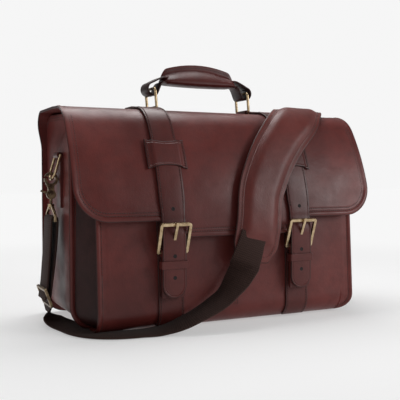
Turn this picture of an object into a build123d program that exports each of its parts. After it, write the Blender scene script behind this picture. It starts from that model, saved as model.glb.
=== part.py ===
"""Two-strap leather briefcase: body, hinged flap, buckled straps, handle and shoulder strap.

Frame: origin on the floor under the middle of the body, +X to the right seen from the front,
the front faces -Y, +Z up. Millimetres. Every sub-part is written as its own STEP file.
"""
import os
from math import cos, radians, sin

from build123d import *

os.makedirs("parts", exist_ok=True)

# ---------------------------------------------------------------- driving dimensions
# Body
body_height = 279.0         # floor to the outside of the top
body_depth = 180.0          # foot of the front panel to the outside of the back
back_width = 420.0
divider_width = 418.0
front_width = 374.0
front_height = 185.0        # floor to the front panel's top edge
divider_height = 250.0
gusset_height = 252.0
leather = 3.0
divider_thickness = 4.0
seam_margin = 7.0           # how far a panel's sewn edge stands out past the gusset
corner_radius = 32.0        # lower corners of the back and the divider
front_corner_radius = 8.0   # lower corners of the front panel, round its toe
base_shoulder = 6.0         # level part of the base at each end ...
base_slope = 26.0           # ... and where it reaches the floor
crown_radius = 18.0         # where the back turns over into the top
front_depth = 42.0          # divider to the foot of the front panel
front_lean = 3.7            # degrees the front panel leans back
front_toe_radius = 26.0     # where the front panel turns under

# Flap
flap_width = 430.0
flap_corner = 43.0
flap_low = 115.0            # lowest edge, in the middle
flap_side_low = 136.0       # lower edge outside the straps
flap_dip_inner = 70.0       # the edge's step runs from this X ...
flap_dip_outer = 112.0      # ... to this X
hinge_y = -9.0
hinge_gap = 1.0             # opening between the fixed top and the flap
flap_bend_y = -11.0         # the flap starts to turn down here
flap_bend_radius = 48.5
flap_bend_angle = 58.0
flap_front_radius = 303.0
flap_end_angle = 88.0

# Buckled straps
strap_x = 92.3
strap_width = 34.0
strap_thickness = 3.0
tail_width = 31.0
tail_angle = 81.2           # where the free tail starts, measured along the flap's turn
tail_tip = 41.0             # height of the tail's tip
tail_clearance = 0.4
rear_strap_end = 205.0
patch_width = 53.0
patch_top = 236.0
patch_bottom = 199.0
patch_hollow = 4.0
patch_thickness = 2.0
strip_thickness = 2.5

# Buckles
buckle_width = 42.0
buckle_height = 37.0        # hinge bar to top bar, centre to centre
buckle_lean = 18.8          # degrees that the frame leans out
buckle_bar = 3.6
buckle_thickness = 3.4
pin_radius = 1.9
pin_height = 97.0
pin_clearance = 0.25
prong_width = 3.4
prong_thickness = 2.6
slot_clearance = 1.1
chape_thickness = 2.8
chape_gap = 0.1
keeper_height = 9.5
keeper_low = 77.5
keeper_wall = 2.0
keeper_clearance = 0.4
tongue_width = 27.0
tongue_thickness = 1.7
tongue_low = 41.5
tongue_high = 75.0
clasp_gap = 0.5
seat_width = 22.0
seat_low = 46.0
seat_high = 72.0

# Handle
ring_x = 72.0               # ring feet, each side of the middle
ring_y = 22.5
ring_length = 35.0          # between the centres of a ring's two legs
ring_height = 28.5          # between its lower and upper bars
ring_wire = 1.9
ring_corner = 4.0
ring_lean = 5.0             # degrees towards -X
ring_clearance = 0.4
ring_lift = 0.3             # extra gap under the ring's foot
tab_leather = 2.2
tab_reach = 35.0            # from the ring's foot to the tab's outer end
grip_length = 114.0
grip_width = 34.0
grip_bottom = 317.0
grip_top = 339.0
grip_end_height = 12.0
grip_sag = 1.5              # the underside is lower in the middle
grip_rounding = 5.0
loop_overlap = 2.0          # how far a loop's flat end reaches past the grip
fin_height = 9.0
fin_thickness = 4.0
loop_radius = 9.6
loop_hole = 5.8
loop_width = 28.0

# Side rings and snap hooks
side_y = 10.0
side_tab_low = 150.0
side_tab_width = 20.0
side_tab_thickness = 4.0
side_bar_z = 217.0
side_fold_wall = 2.0        # leather round the D-ring's bar
dring_wire = 1.7
dring_length = 26.0         # straight bar, between the ring's corners
dring_drop = 32.0
dring_tilt = 17.0           # degrees out from the side
hook_radius = 9.0
hook_hole = 5.6
hook_thickness = 4.5
hook_gap = 9.0              # opening in the hook's outer side, which the gate closes
hook_gap_drop = 1.0         # the opening's middle, below the hook's centre
hook_shank = 8.0
hook_boss_radius = 6.0
rivet_drop = 19.5           # from the hook's centre down to its rivet
rivet_radius = 1.3
rivet_length = 3.0
rivet_head_radius = 2.6
rivet_head = 1.2
rivet_clearance = 0.08
gate_boss_radius = 4.2
gate_plate = 2.0
gate_gap = 0.3              # between the gate's plate and the hook
gate_arm = 3.0
gate_block = 2.6            # the bar that closes the opening: thickness and height
gate_block_height = 4.9
gate_block_drop = 1.15
lever_length = 14.0
lever_rise = 5.0
lever_width = 2.4
post_radius = 1.8           # swivel post under the hook
post_start = 5.0
post_length = 14.0
post_head_radius = 3.2
post_head = 2.5
post_clearance = 0.15
eye_width = 44.0
eye_height = 22.0
eye_thickness = 3.4
eye_wall = 3.4
eye_neck = 12.0             # width of the eye's upper bar
eye_neck_wall = 4.0
eye_square = 9.0            # height of the eye's straight sides
eye_drop = 12.0             # from the rivet down to the eye
eye_hub_radius = 4.0

# Shoulder strap
webbing_width = 38.0
webbing_thickness = 2.4
pad_width = 66.0
pad_lift = 5.8              # the pad's underside above the flap's face
pad_thickness = 9.0
pad_head_x = 139.0          # middle of the pad where it goes over the top edge
slider_top = 54.0
slider_length = 26.0
slider_bar = 3.4
slider_corner = 3.0
slider_slack = 2.0          # spare width of the slider's slots over the webbing

# ---------------------------------------------------------------- derived places
back_y = body_depth / 2
front_y = -body_depth / 2
divider_front = front_y + front_depth
lean = radians(front_lean)
toe_y = front_y + front_toe_radius * cos(lean)
bend_y = flap_bend_y - flap_bend_radius * sin(radians(flap_bend_angle))
bend_z = body_height - flap_bend_radius * (1 - cos(radians(flap_bend_angle)))
gusset_x = back_width / 2 - seam_margin
hang_y = bend_y - flap_front_radius * (1 - sin(radians(flap_bend_angle)))


def flap_point(angle, offset=0.0):
    """Y and Z of the flap's outer face where it has turned down by an angle."""
    radius = flap_front_radius + offset
    y = bend_y - offset * sin(radians(flap_bend_angle))
    z = bend_z + offset * cos(radians(flap_bend_angle))
    y -= radius * (sin(radians(angle)) - sin(radians(flap_bend_angle)))
    z -= radius * (cos(radians(flap_bend_angle)) - cos(radians(angle)))
    return y, z


def flap_path(offset, last_angle):
    """The flap's side line, at an offset outside its outer face, inside a BuildLine."""
    start = Line((hinge_y - hinge_gap / 2, body_height + offset), (flap_bend_y, body_height + offset))
    bend = JernArc(start @ 1, start % 1, flap_bend_radius + offset, flap_bend_angle)
    JernArc(bend @ 1, bend % 1, flap_front_radius + offset, last_angle - flap_bend_angle)


def front_face_y(z, offset=0.0):
    """Y of the front panel's outer face, moved outwards by an offset, at a height."""
    start_z = (front_toe_radius + offset) * sin(lean) + front_toe_radius
    start_y = toe_y - (front_toe_radius + offset) * cos(lean)
    return start_y + (z - start_z) * sin(lean) / cos(lean)


def front_path(offset, turn, top):
    """The front panel's side line from its toe up, offset inwards, inside a BuildLine."""
    radius = front_toe_radius - offset
    start_angle = radians(270 - (90 + front_lean - turn))
    start = (toe_y + radius * cos(start_angle), front_toe_radius + radius * sin(start_angle))
    heading = (sin(start_angle), -cos(start_angle))
    toe = JernArc(start, heading, radius, -turn)
    rise = (top - (toe @ 1).Y) / cos(lean)
    face = Line(toe @ 1, toe @ 1 + (toe % 1) * rise)
    return toe, face


def save(builder, name):
    """Label a finished sub-part and write its STEP file."""
    builder.part.label = name
    export_step(builder.part, f"parts/{name}.step")


def rounded_foot(width, low, high, radius):
    """A panel's outline with rounded lower corners, inside a BuildSketch on an XZ plane."""
    with BuildLine() as outline:
        FilletPolyline(
            (-width / 2, high), (-width / 2, low), (width / 2, low), (width / 2, high), radius=radius
        )
        Line((-width / 2, high), (width / 2, high))
    make_face(outline.edges())


# ---------------------------------------------------------------- body
# Back panel and fixed top: one sheet from the foot, over the crown, to the flap's hinge line.
with BuildPart() as back_panel:
    with BuildSketch(Plane.YZ):
        with BuildLine():
            rise = Line((back_y - leather / 2, 0), (back_y - leather / 2, body_height - crown_radius))
            crown = JernArc(rise @ 1, rise % 1, crown_radius - leather / 2, 90)
            Line(crown @ 1, (hinge_y + hinge_gap, body_height - leather / 2))
        trace(line_width=leather)
    extrude(amount=flap_width / 2, both=True)
    with BuildSketch(Plane.XZ):
        rounded_foot(back_width, 0, body_height - 2 * crown_radius, corner_radius)
        with Locations((0, body_height - crown_radius)):
            Rectangle(flap_width, 2 * crown_radius + 1)
    extrude(amount=body_depth, both=True, mode=Mode.INTERSECT)
save(back_panel, "back_panel")

# Divider between the main and the front compartment; its edge is the proud middle seam.
with BuildPart() as divider_panel:
    with BuildSketch(Plane.XZ.offset(-divider_front - divider_thickness)):
        rounded_foot(divider_width, 0, divider_height, corner_radius)
    extrude(amount=divider_thickness)
save(divider_panel, "divider_panel")

# Main gusset: two sides that turn in at the foot, and the base between them.
gusset_radius = corner_radius - seam_margin
gusset_back = back_y - leather
gusset_front = divider_front + divider_thickness
base_z = seam_margin + leather / 2
for side, name in ((-1, "left"), (1, "right")):
    with BuildPart() as main_gusset:
        with BuildSketch(Plane.XZ.offset(-gusset_back)):
            with BuildLine():
                drop = Line(
                    (side * (gusset_x - leather / 2), gusset_height),
                    (side * (gusset_x - leather / 2), seam_margin + gusset_radius),
                )
                JernArc(drop @ 1, drop % 1, gusset_radius - leather / 2, -side * 90)
            trace(line_width=leather)
        extrude(amount=gusset_back - gusset_front)
    save(main_gusset, f"main_gusset_{name}")

# The base sags between its ends, so that the leather rests on the floor.
with BuildPart() as main_gusset_base:
    with BuildSketch(Plane.XZ.offset(-gusset_back)):
        with BuildLine():
            end_x = gusset_x - gusset_radius
            Polyline(
                (-end_x, base_z),
                (-end_x + base_shoulder, base_z),
                (-end_x + base_slope, leather / 2),
                (end_x - base_slope, leather / 2),
                (end_x - base_shoulder, base_z),
                (end_x, base_z),
            )
        trace(line_width=leather)
    extrude(amount=gusset_back - gusset_front)
save(main_gusset_base, "main_gusset_base")

# Front panel: leans back a little and turns under at its foot to meet the divider's seam.
with BuildPart() as front_panel:
    with BuildSketch(Plane.YZ):
        with BuildLine():
            toe, _ = front_path(leather / 2, 90 + front_lean, front_height)
            Line((divider_front, (toe @ 0).Y), toe @ 0)
        trace(line_width=leather)
    extrude(amount=front_width / 2, both=True)
    with BuildSketch(Plane.XZ):
        rounded_foot(front_width, 0, front_height + leather, front_corner_radius)
    extrude(amount=body_depth, both=True, mode=Mode.INTERSECT)
save(front_panel, "front_panel")

# Front gussets: slanted side walls of the front compartment, trimmed to its side profile.
gusset_top = front_height - seam_margin
for side, name in ((-1, "left"), (1, "right")):
    with BuildPart() as front_gusset:
        with BuildSketch(Plane.YZ):
            with BuildLine():
                toe, face = front_path(leather, 90 + front_lean, gusset_top)
                Polyline(face @ 1, (divider_front, gusset_top), (divider_front, leather), toe @ 0)
            make_face()
        extrude(amount=back_width / 2, both=True)
        with BuildSketch(Plane.XY):
            with BuildLine():
                Line(
                    (side * (front_width / 2 - seam_margin - leather / 2), front_y),
                    (side * (divider_width / 2 - seam_margin - leather / 2), divider_front + leather),
                )
            trace(line_width=leather)
        extrude(amount=body_height, mode=Mode.INTERSECT)
        with BuildSketch(Plane.XZ):
            rounded_foot(divider_width - 2 * seam_margin, leather, front_height, gusset_radius)
        extrude(amount=body_depth, both=True, mode=Mode.INTERSECT)
    save(front_gusset, f"front_gusset_{name}")

# Stiffening board over the base of the main compartment.
board_gap = 1.0
board_thickness = 2.5
board_corner = 5.0
with BuildPart() as base_board:
    with BuildSketch(Plane.XY.offset(leather)):
        with Locations((0, (gusset_back + gusset_front) / 2)):
            RectangleRounded(
                2 * (gusset_x - gusset_radius - base_slope) - 2 * board_gap,
                gusset_back - gusset_front - 2 * board_gap,
                board_corner,
            )
    extrude(amount=board_thickness)
save(base_board, "base_board")

# Inside the main compartment: a sleeve wall near the back and a low pocket on it.
sleeve_y = 62.0
sleeve_height = 235.0
sleeve_thickness = 4.0
pocket_height = 150.0
inner_low = seam_margin + leather + board_thickness
with BuildPart() as laptop_sleeve:
    with BuildSketch(Plane.XZ.offset(-sleeve_y)):
        with Locations((0, (inner_low + sleeve_height) / 2)):
            Rectangle(2 * (gusset_x - gusset_radius), sleeve_height - inner_low)
    extrude(amount=sleeve_thickness)
save(laptop_sleeve, "laptop_sleeve")

pocket_width = 300.0
with BuildPart() as inner_pocket:
    with BuildSketch(Plane.XZ.offset(-(sleeve_y - sleeve_thickness))):
        with Locations((0, (inner_low + pocket_height) / 2)):
            Rectangle(pocket_width, pocket_height - inner_low)
    extrude(amount=leather)
save(inner_pocket, "inner_pocket")

# Organizer and pen loops on the front face of the divider.
organizer_width = 240.0
organizer_low = 40.0
organizer_height = 140.0
organizer_thickness = 2.0
pen_loop_radius = 7.0
pen_loop_wall = 1.5
pen_loop_height = 22.0
pen_loop_spacing = 20.0
with BuildPart() as organizer_pocket:
    with BuildSketch(Plane.XZ.offset(-divider_front)):
        with Locations((0, (organizer_low + organizer_height) / 2)):
            Rectangle(organizer_width, organizer_height - organizer_low)
    extrude(amount=organizer_thickness)
save(organizer_pocket, "organizer_pocket")

with BuildPart() as pen_loops:
    with BuildSketch(Plane.XY.offset(organizer_height)):
        with GridLocations(pen_loop_spacing, 1, 3, 1):
            with Locations((0, divider_front - pen_loop_radius)):
                Circle(pen_loop_radius)
                Circle(pen_loop_radius - pen_loop_wall, mode=Mode.SUBTRACT)
    extrude(amount=pen_loop_height)
save(pen_loops, "pen_loops")

# ---------------------------------------------------------------- flap
with BuildPart() as flap_panel:
    with BuildSketch(Plane.YZ):
        with BuildLine():
            flap_path(-leather / 2, flap_end_angle)
        trace(line_width=leather)
    extrude(amount=flap_width / 2, both=True)
    with BuildSketch(Plane.XZ):
        with BuildLine():
            Line((flap_width / 2, body_height + 1), (flap_width / 2, flap_side_low + flap_corner))
            corner = JernArc((flap_width / 2, flap_side_low + flap_corner), (0, -1), flap_corner, -90)
            edge = Line(corner @ 1, (flap_dip_outer, flap_side_low))
            step = Spline(edge @ 1, (flap_dip_inner, flap_low), tangents=((-1, 0), (-1, 0)))
            Line(step @ 1, (0, flap_low))
            mirror(about=Plane.YZ)
            Line((-flap_width / 2, body_height + 1), (flap_width / 2, body_height + 1))
        make_face()
    extrude(amount=body_depth, both=True, mode=Mode.INTERSECT)
save(flap_panel, "flap_panel")

# ---------------------------------------------------------------- straps and buckles
tail_inner = hang_y - tail_clearance
tail_outer = tail_inner - strap_thickness
chape_front = tail_inner + chape_gap
pin_y = chape_front + pin_radius + pin_clearance + chape_thickness
buckle_up = (0, -sin(radians(buckle_lean)), cos(radians(buckle_lean)))
buckle_out = (0, -cos(radians(buckle_lean)), -sin(radians(buckle_lean)))
chape_back = chape_front + chape_thickness
tongue_back = chape_back + tongue_thickness

for side, name in ((-1, "left"), (1, "right")):
    x = side * strap_x

    # Rear run of the strap, sewn over the fixed top and down the back.
    with BuildPart() as rear_strap:
        with BuildSketch(Plane.YZ.offset(x)):
            with BuildLine():
                level = body_height + strap_thickness / 2
                over = Line((hinge_y + hinge_gap, level), (back_y - crown_radius, level))
                turn = JernArc(over @ 1, over % 1, crown_radius + strap_thickness / 2, -90)
                Line(turn @ 1, ((turn @ 1).X, rear_strap_end))
            trace(line_width=strap_thickness)
        extrude(amount=strap_width / 2, both=True)
    save(rear_strap, f"rear_strap_{name}")

    # Front run of the strap, sewn to the flap.
    with BuildPart() as flap_strap:
        with BuildSketch(Plane.YZ.offset(x)):
            with BuildLine():
                flap_path(strap_thickness / 2, tail_angle)
            trace(line_width=strap_thickness)
        extrude(amount=strap_width / 2, both=True)
    save(flap_strap, f"flap_strap_{name}")

    # Sewn patch that holds the strap to the flap, with hollow top and bottom edges.
    with BuildPart() as strap_patch:
        with BuildSketch(Plane.YZ.offset(x)):
            with BuildLine():
                flap_path((strap_thickness + patch_thickness) / 2, flap_end_angle)
            trace(line_width=strap_thickness + patch_thickness)
        extrude(amount=patch_width / 2, both=True)
        with BuildSketch(Plane.XZ):
            with BuildLine():
                left = x - patch_width / 2
                right = x + patch_width / 2
                ThreePointArc((left, patch_top), (x, patch_top - patch_hollow), (right, patch_top))
                ThreePointArc((left, patch_bottom), (x, patch_bottom + patch_hollow), (right, patch_bottom))
                Line((left, patch_top), (left, patch_bottom))
                Line((right, patch_top), (right, patch_bottom))
            make_face()
        extrude(amount=body_depth, both=True, mode=Mode.INTERSECT)
        with BuildSketch(Plane.YZ.offset(x)):
            with BuildLine():
                flap_path(strap_thickness / 2, flap_end_angle)
            trace(line_width=strap_thickness)
        extrude(amount=strap_width / 2, both=True, mode=Mode.SUBTRACT)
    save(strap_patch, f"strap_patch_{name}")

    # Free tail of the strap, with a rounded tip and the slot that the prong comes through.
    with BuildPart() as strap_tail:
        with BuildSketch(Plane.YZ.offset(x)):
            with BuildLine():
                middle = tail_clearance + strap_thickness / 2
                start_y, start_z = flap_point(tail_angle + 0.2, middle)
                heading = (-cos(radians(tail_angle + 0.2)), -sin(radians(tail_angle + 0.2)))
                hang = JernArc((start_y, start_z), heading, flap_front_radius + middle, 90 - tail_angle - 0.2)
                Line(hang @ 1, ((hang @ 1).X, tail_tip))
            trace(line_width=strap_thickness)
        extrude(amount=tail_width / 2, both=True)
        with BuildSketch(Plane.XZ):
            with BuildLine():
                low = tail_tip + tail_width / 2
                ThreePointArc((x - tail_width / 2, low), (x, tail_tip), (x + tail_width / 2, low))
                Polyline(
                    (x - tail_width / 2, low),
                    (x - tail_width / 2, flap_side_low + strap_width),
                    (x + tail_width / 2, flap_side_low + strap_width),
                    (x + tail_width / 2, low),
                )
            make_face()
        extrude(amount=body_depth, both=True, mode=Mode.INTERSECT)
        with BuildSketch(Plane.XZ):
            with Locations((x, pin_height + buckle_height / 3)):
                Rectangle(prong_width + 2 * slot_clearance, 2 * buckle_height / 3 + 4)
        extrude(amount=body_depth, both=True, mode=Mode.SUBTRACT)
    save(strap_tail, f"strap_tail_{name}")

    # Chape: short strap behind the tail, folded round the buckle's pin.
    with BuildPart() as buckle_chape:
        with BuildSketch(Plane.YZ.offset(x)):
            with Locations(((chape_front + chape_back) / 2, (tongue_low + pin_height) / 2)):
                Rectangle(chape_thickness, pin_height - tongue_low)
            with Locations((pin_y, pin_height)):
                Circle(pin_radius + pin_clearance + chape_thickness)
                Circle(pin_radius + pin_clearance, mode=Mode.SUBTRACT)
        extrude(amount=tail_width / 2, both=True)
        with BuildSketch(Plane.XZ):
            with Locations((x, pin_height)):
                Rectangle(prong_width + 2 * slot_clearance, 4 * (pin_radius + chape_thickness))
        extrude(amount=body_depth, both=True, mode=Mode.SUBTRACT)
    save(buckle_chape, f"buckle_chape_{name}")

    # Keeper loop round the tail and the chape.
    keeper_x = tail_width / 2 + keeper_clearance
    keeper_front = tail_outer - keeper_clearance
    keeper_back = chape_back + keeper_clearance
    with BuildPart() as strap_keeper:
        with BuildSketch(Plane.XY.offset(keeper_low)):
            with Locations((x, (keeper_front + keeper_back) / 2)):
                RectangleRounded(
                    2 * (keeper_x + keeper_wall), keeper_back - keeper_front + 2 * keeper_wall, keeper_wall
                )
                Rectangle(2 * keeper_x, keeper_back - keeper_front, mode=Mode.SUBTRACT)
        extrude(amount=keeper_height)
    save(strap_keeper, f"strap_keeper_{name}")

    # Hidden clasp: a brass tongue on the chape, and its seat on the front panel's strip.
    with BuildPart() as clasp_tongue:
        with BuildSketch(Plane.XZ.offset(-tongue_back)):
            with BuildLine():
                low = tongue_low + tongue_width / 2
                ThreePointArc((x - tongue_width / 2, low), (x, tongue_low), (x + tongue_width / 2, low))
                Polyline(
                    (x - tongue_width / 2, low),
                    (x - tongue_width / 2, tongue_high),
                    (x + tongue_width / 2, tongue_high),
                    (x + tongue_width / 2, low),
                )
            make_face()
        extrude(amount=tongue_thickness)
    save(clasp_tongue, f"clasp_tongue_{name}")

    with BuildPart() as clasp_seat:
        with BuildSketch(Plane.YZ.offset(x)):
            with BuildLine():
                seat_front = tongue_back + clasp_gap
                Polyline(
                    (front_face_y(seat_high, strip_thickness), seat_high),
                    (seat_front, seat_high),
                    (seat_front, seat_low),
                    (front_face_y(seat_low, strip_thickness), seat_low),
                    close=True,
                )
            make_face()
        extrude(amount=seat_width / 2, both=True)
    save(clasp_seat, f"clasp_seat_{name}")

    # Stitched strip down the front panel under the buckled strap.
    with BuildPart() as front_strip:
        with BuildSketch(Plane.YZ.offset(x)):
            with BuildLine():
                front_path(-strip_thickness / 2, 60, front_height - seam_margin)
            trace(line_width=strip_thickness)
        extrude(amount=strap_width / 2, both=True)
    save(front_strip, f"front_strip_{name}")

    # Buckle frame: three flat sides and the round pin that the chape holds.
    frame_plane = Plane(origin=(x, pin_y, pin_height), x_dir=(1, 0, 0), z_dir=buckle_out)
    with BuildPart() as buckle_frame:
        with BuildSketch(frame_plane.offset(-buckle_thickness / 2)):
            with Locations((0, buckle_height / 2)):
                RectangleRounded(buckle_width, buckle_height + buckle_bar, buckle_bar)
            with Locations((0, buckle_height / 2 - buckle_bar / 2)):
                Rectangle(buckle_width - 2 * buckle_bar, buckle_height, mode=Mode.SUBTRACT)
            with Locations((0, -buckle_bar)):
                Rectangle(buckle_width - 2 * buckle_bar, 2 * buckle_bar, mode=Mode.SUBTRACT)
        extrude(amount=buckle_thickness)
        with BuildSketch(Plane.YZ.offset(x)):
            with Locations((pin_y, pin_height)):
                Circle(pin_radius)
        extrude(amount=buckle_width / 2 - buckle_bar / 2, both=True)
    save(buckle_frame, f"buckle_frame_{name}")

    # Prong: turns on the pin, comes through the tail and rests over the top bar.
    prong_lift = buckle_thickness / 2 + tail_clearance + prong_thickness / 2
    prong_plane = Plane(origin=(x, pin_y, pin_height), x_dir=buckle_up, z_dir=(1, 0, 0))
    with BuildPart() as buckle_prong:
        with BuildSketch(prong_plane.offset(-prong_width / 2)):
            with BuildLine():
                Line((0, 0), (buckle_height, prong_lift))
            trace(line_width=prong_thickness)
            Circle(pin_radius + pin_clearance + 1.4)
            with Locations((buckle_height, prong_lift)):
                Rectangle(2 * buckle_bar, prong_thickness)
            Circle(pin_radius + pin_clearance, mode=Mode.SUBTRACT)
        extrude(amount=prong_width)
    save(buckle_prong, f"buckle_prong_{name}")

# ---------------------------------------------------------------- handle
ring_foot_z = body_height + ring_clearance + ring_wire + ring_lift
ring_tilt = radians(ring_lean)
ring_top_z = ring_foot_z + ring_height * cos(ring_tilt)
ring_shift = -ring_height * sin(ring_tilt)
tab_radius = ring_wire + ring_clearance + tab_leather
tab_width = ring_length - 2 * ring_wire - 2 * ring_corner / 2

for side, name in ((-1, "left"), (1, "right")):
    foot_x = side * ring_x
    top_x = foot_x + ring_shift

    # Rectangular wire ring that carries one end of the handle.
    ring_plane = Plane(
        origin=(foot_x, ring_y, ring_foot_z), x_dir=(0, 1, 0), z_dir=(cos(ring_tilt), 0, sin(ring_tilt))
    )
    with BuildPart() as handle_ring:
        with BuildLine(ring_plane):
            half = ring_length / 2
            wire = FilletPolyline(
                (-half, 0), (half, 0), (half, ring_height), (-half, ring_height),
                radius=ring_corner, close=True,
            )
        with BuildSketch(Plane(origin=wire @ 0, z_dir=wire % 0)):
            Circle(ring_wire)
        sweep()
    save(handle_ring, f"handle_ring_{name}")

    # Leather tab that arches over the ring's foot and is sewn down across the strap.
    with BuildPart() as ring_tab:
        with BuildSketch(Plane.XZ.offset(-(ring_y + tab_width / 2))):
            with Locations((foot_x, ring_foot_z)):
                Circle(tab_radius)
            on_strap = body_height + strap_thickness
            strap_edge = strap_x - strap_width / 2
            with BuildLine():
                Polyline(
                    (foot_x, on_strap),
                    (side * (ring_x + tab_reach), on_strap),
                    (side * (ring_x + tab_reach), on_strap + tab_leather),
                    (foot_x, on_strap + tab_leather),
                    (foot_x, on_strap),
                )
            make_face()
            with Locations((foot_x - side * tab_radius, body_height + tab_leather / 2)):
                Rectangle(2 * tab_radius, tab_leather)
            with Locations((foot_x, body_height - tab_radius)):
                Rectangle(4 * tab_radius, 2 * tab_radius, mode=Mode.SUBTRACT)
            with Locations((side * (strap_edge + tab_reach), body_height + strap_thickness / 2)):
                Rectangle(2 * tab_reach, strap_thickness, mode=Mode.SUBTRACT)
            with Locations((foot_x, ring_foot_z)):
                Circle(ring_wire + ring_clearance, mode=Mode.SUBTRACT)
        extrude(amount=tab_width)
    save(ring_tab, f"ring_tab_{name}")

    # Flat leather loop of the handle round the ring's upper bar.
    with BuildPart() as handle_loop:
        with BuildSketch(Plane.XZ.offset(-(ring_y + loop_width / 2))):
            with Locations((top_x, ring_top_z)):
                Circle(loop_radius)
            with Locations(
                (ring_shift + side * (grip_length + loop_overlap) / 2, grip_bottom + grip_end_height / 2)
            ):
                Rectangle(loop_overlap, grip_end_height - loop_overlap)
            make_hull()
            with Locations((top_x, ring_top_z)):
                Circle(loop_hole, mode=Mode.SUBTRACT)
        extrude(amount=loop_width)
    save(handle_loop, f"handle_loop_{name}")

# Grip: a padded roll, flat below and crowned above, with a seam fin along its top.
grip_half = grip_length / 2
with BuildPart() as handle_grip:
    with BuildSketch(Plane.XZ.offset(-(ring_y + grip_width / 2))):
        with BuildLine():
            left = (ring_shift - grip_half, grip_bottom + grip_end_height)
            right = (ring_shift + grip_half, grip_bottom + grip_end_height)
            ThreePointArc(left, (ring_shift, grip_top), right)
            low_left = (ring_shift - grip_half, grip_bottom)
            low_right = (ring_shift + grip_half, grip_bottom)
            Line(left, low_left)
            Line(right, low_right)
            ThreePointArc(low_left, (ring_shift, grip_bottom - grip_sag), low_right)
        make_face()
    extrude(amount=grip_width)
    fillet(handle_grip.edges().filter_by(GeomType.CIRCLE), radius=grip_rounding)
save(handle_grip, "handle_grip")

with BuildPart() as handle_fin:
    with BuildSketch(Plane.XZ.offset(-(ring_y + fin_thickness / 2))):
        with BuildLine():
            left_top = (ring_shift - grip_half, grip_bottom + grip_end_height + fin_height)
            right_top = (ring_shift + grip_half, grip_bottom + grip_end_height + fin_height)
            ThreePointArc(left_top, (ring_shift, grip_top + fin_height), right_top)
            ThreePointArc(left, (ring_shift, grip_top), right)
            Line(left, left_top)
            Line(right, right_top)
        make_face()
    extrude(amount=fin_thickness)
save(handle_fin, "handle_fin")

# ---------------------------------------------------------------- side rings and snap hooks
tab_bore = dring_wire + 0.3
bar_x = gusset_x + side_tab_thickness / 2 + dring_wire + 0.6
dring_angle = radians(dring_tilt)
hook_x = bar_x + dring_drop * sin(dring_angle)
hook_z = side_bar_z - dring_drop * cos(dring_angle)
rivet_z = hook_z - rivet_drop
hook_face = side_y - hook_thickness / 2
eye_top = rivet_z - eye_drop
eye_bottom = eye_top - eye_height
inner_half = (webbing_width + 1) / 2

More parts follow.
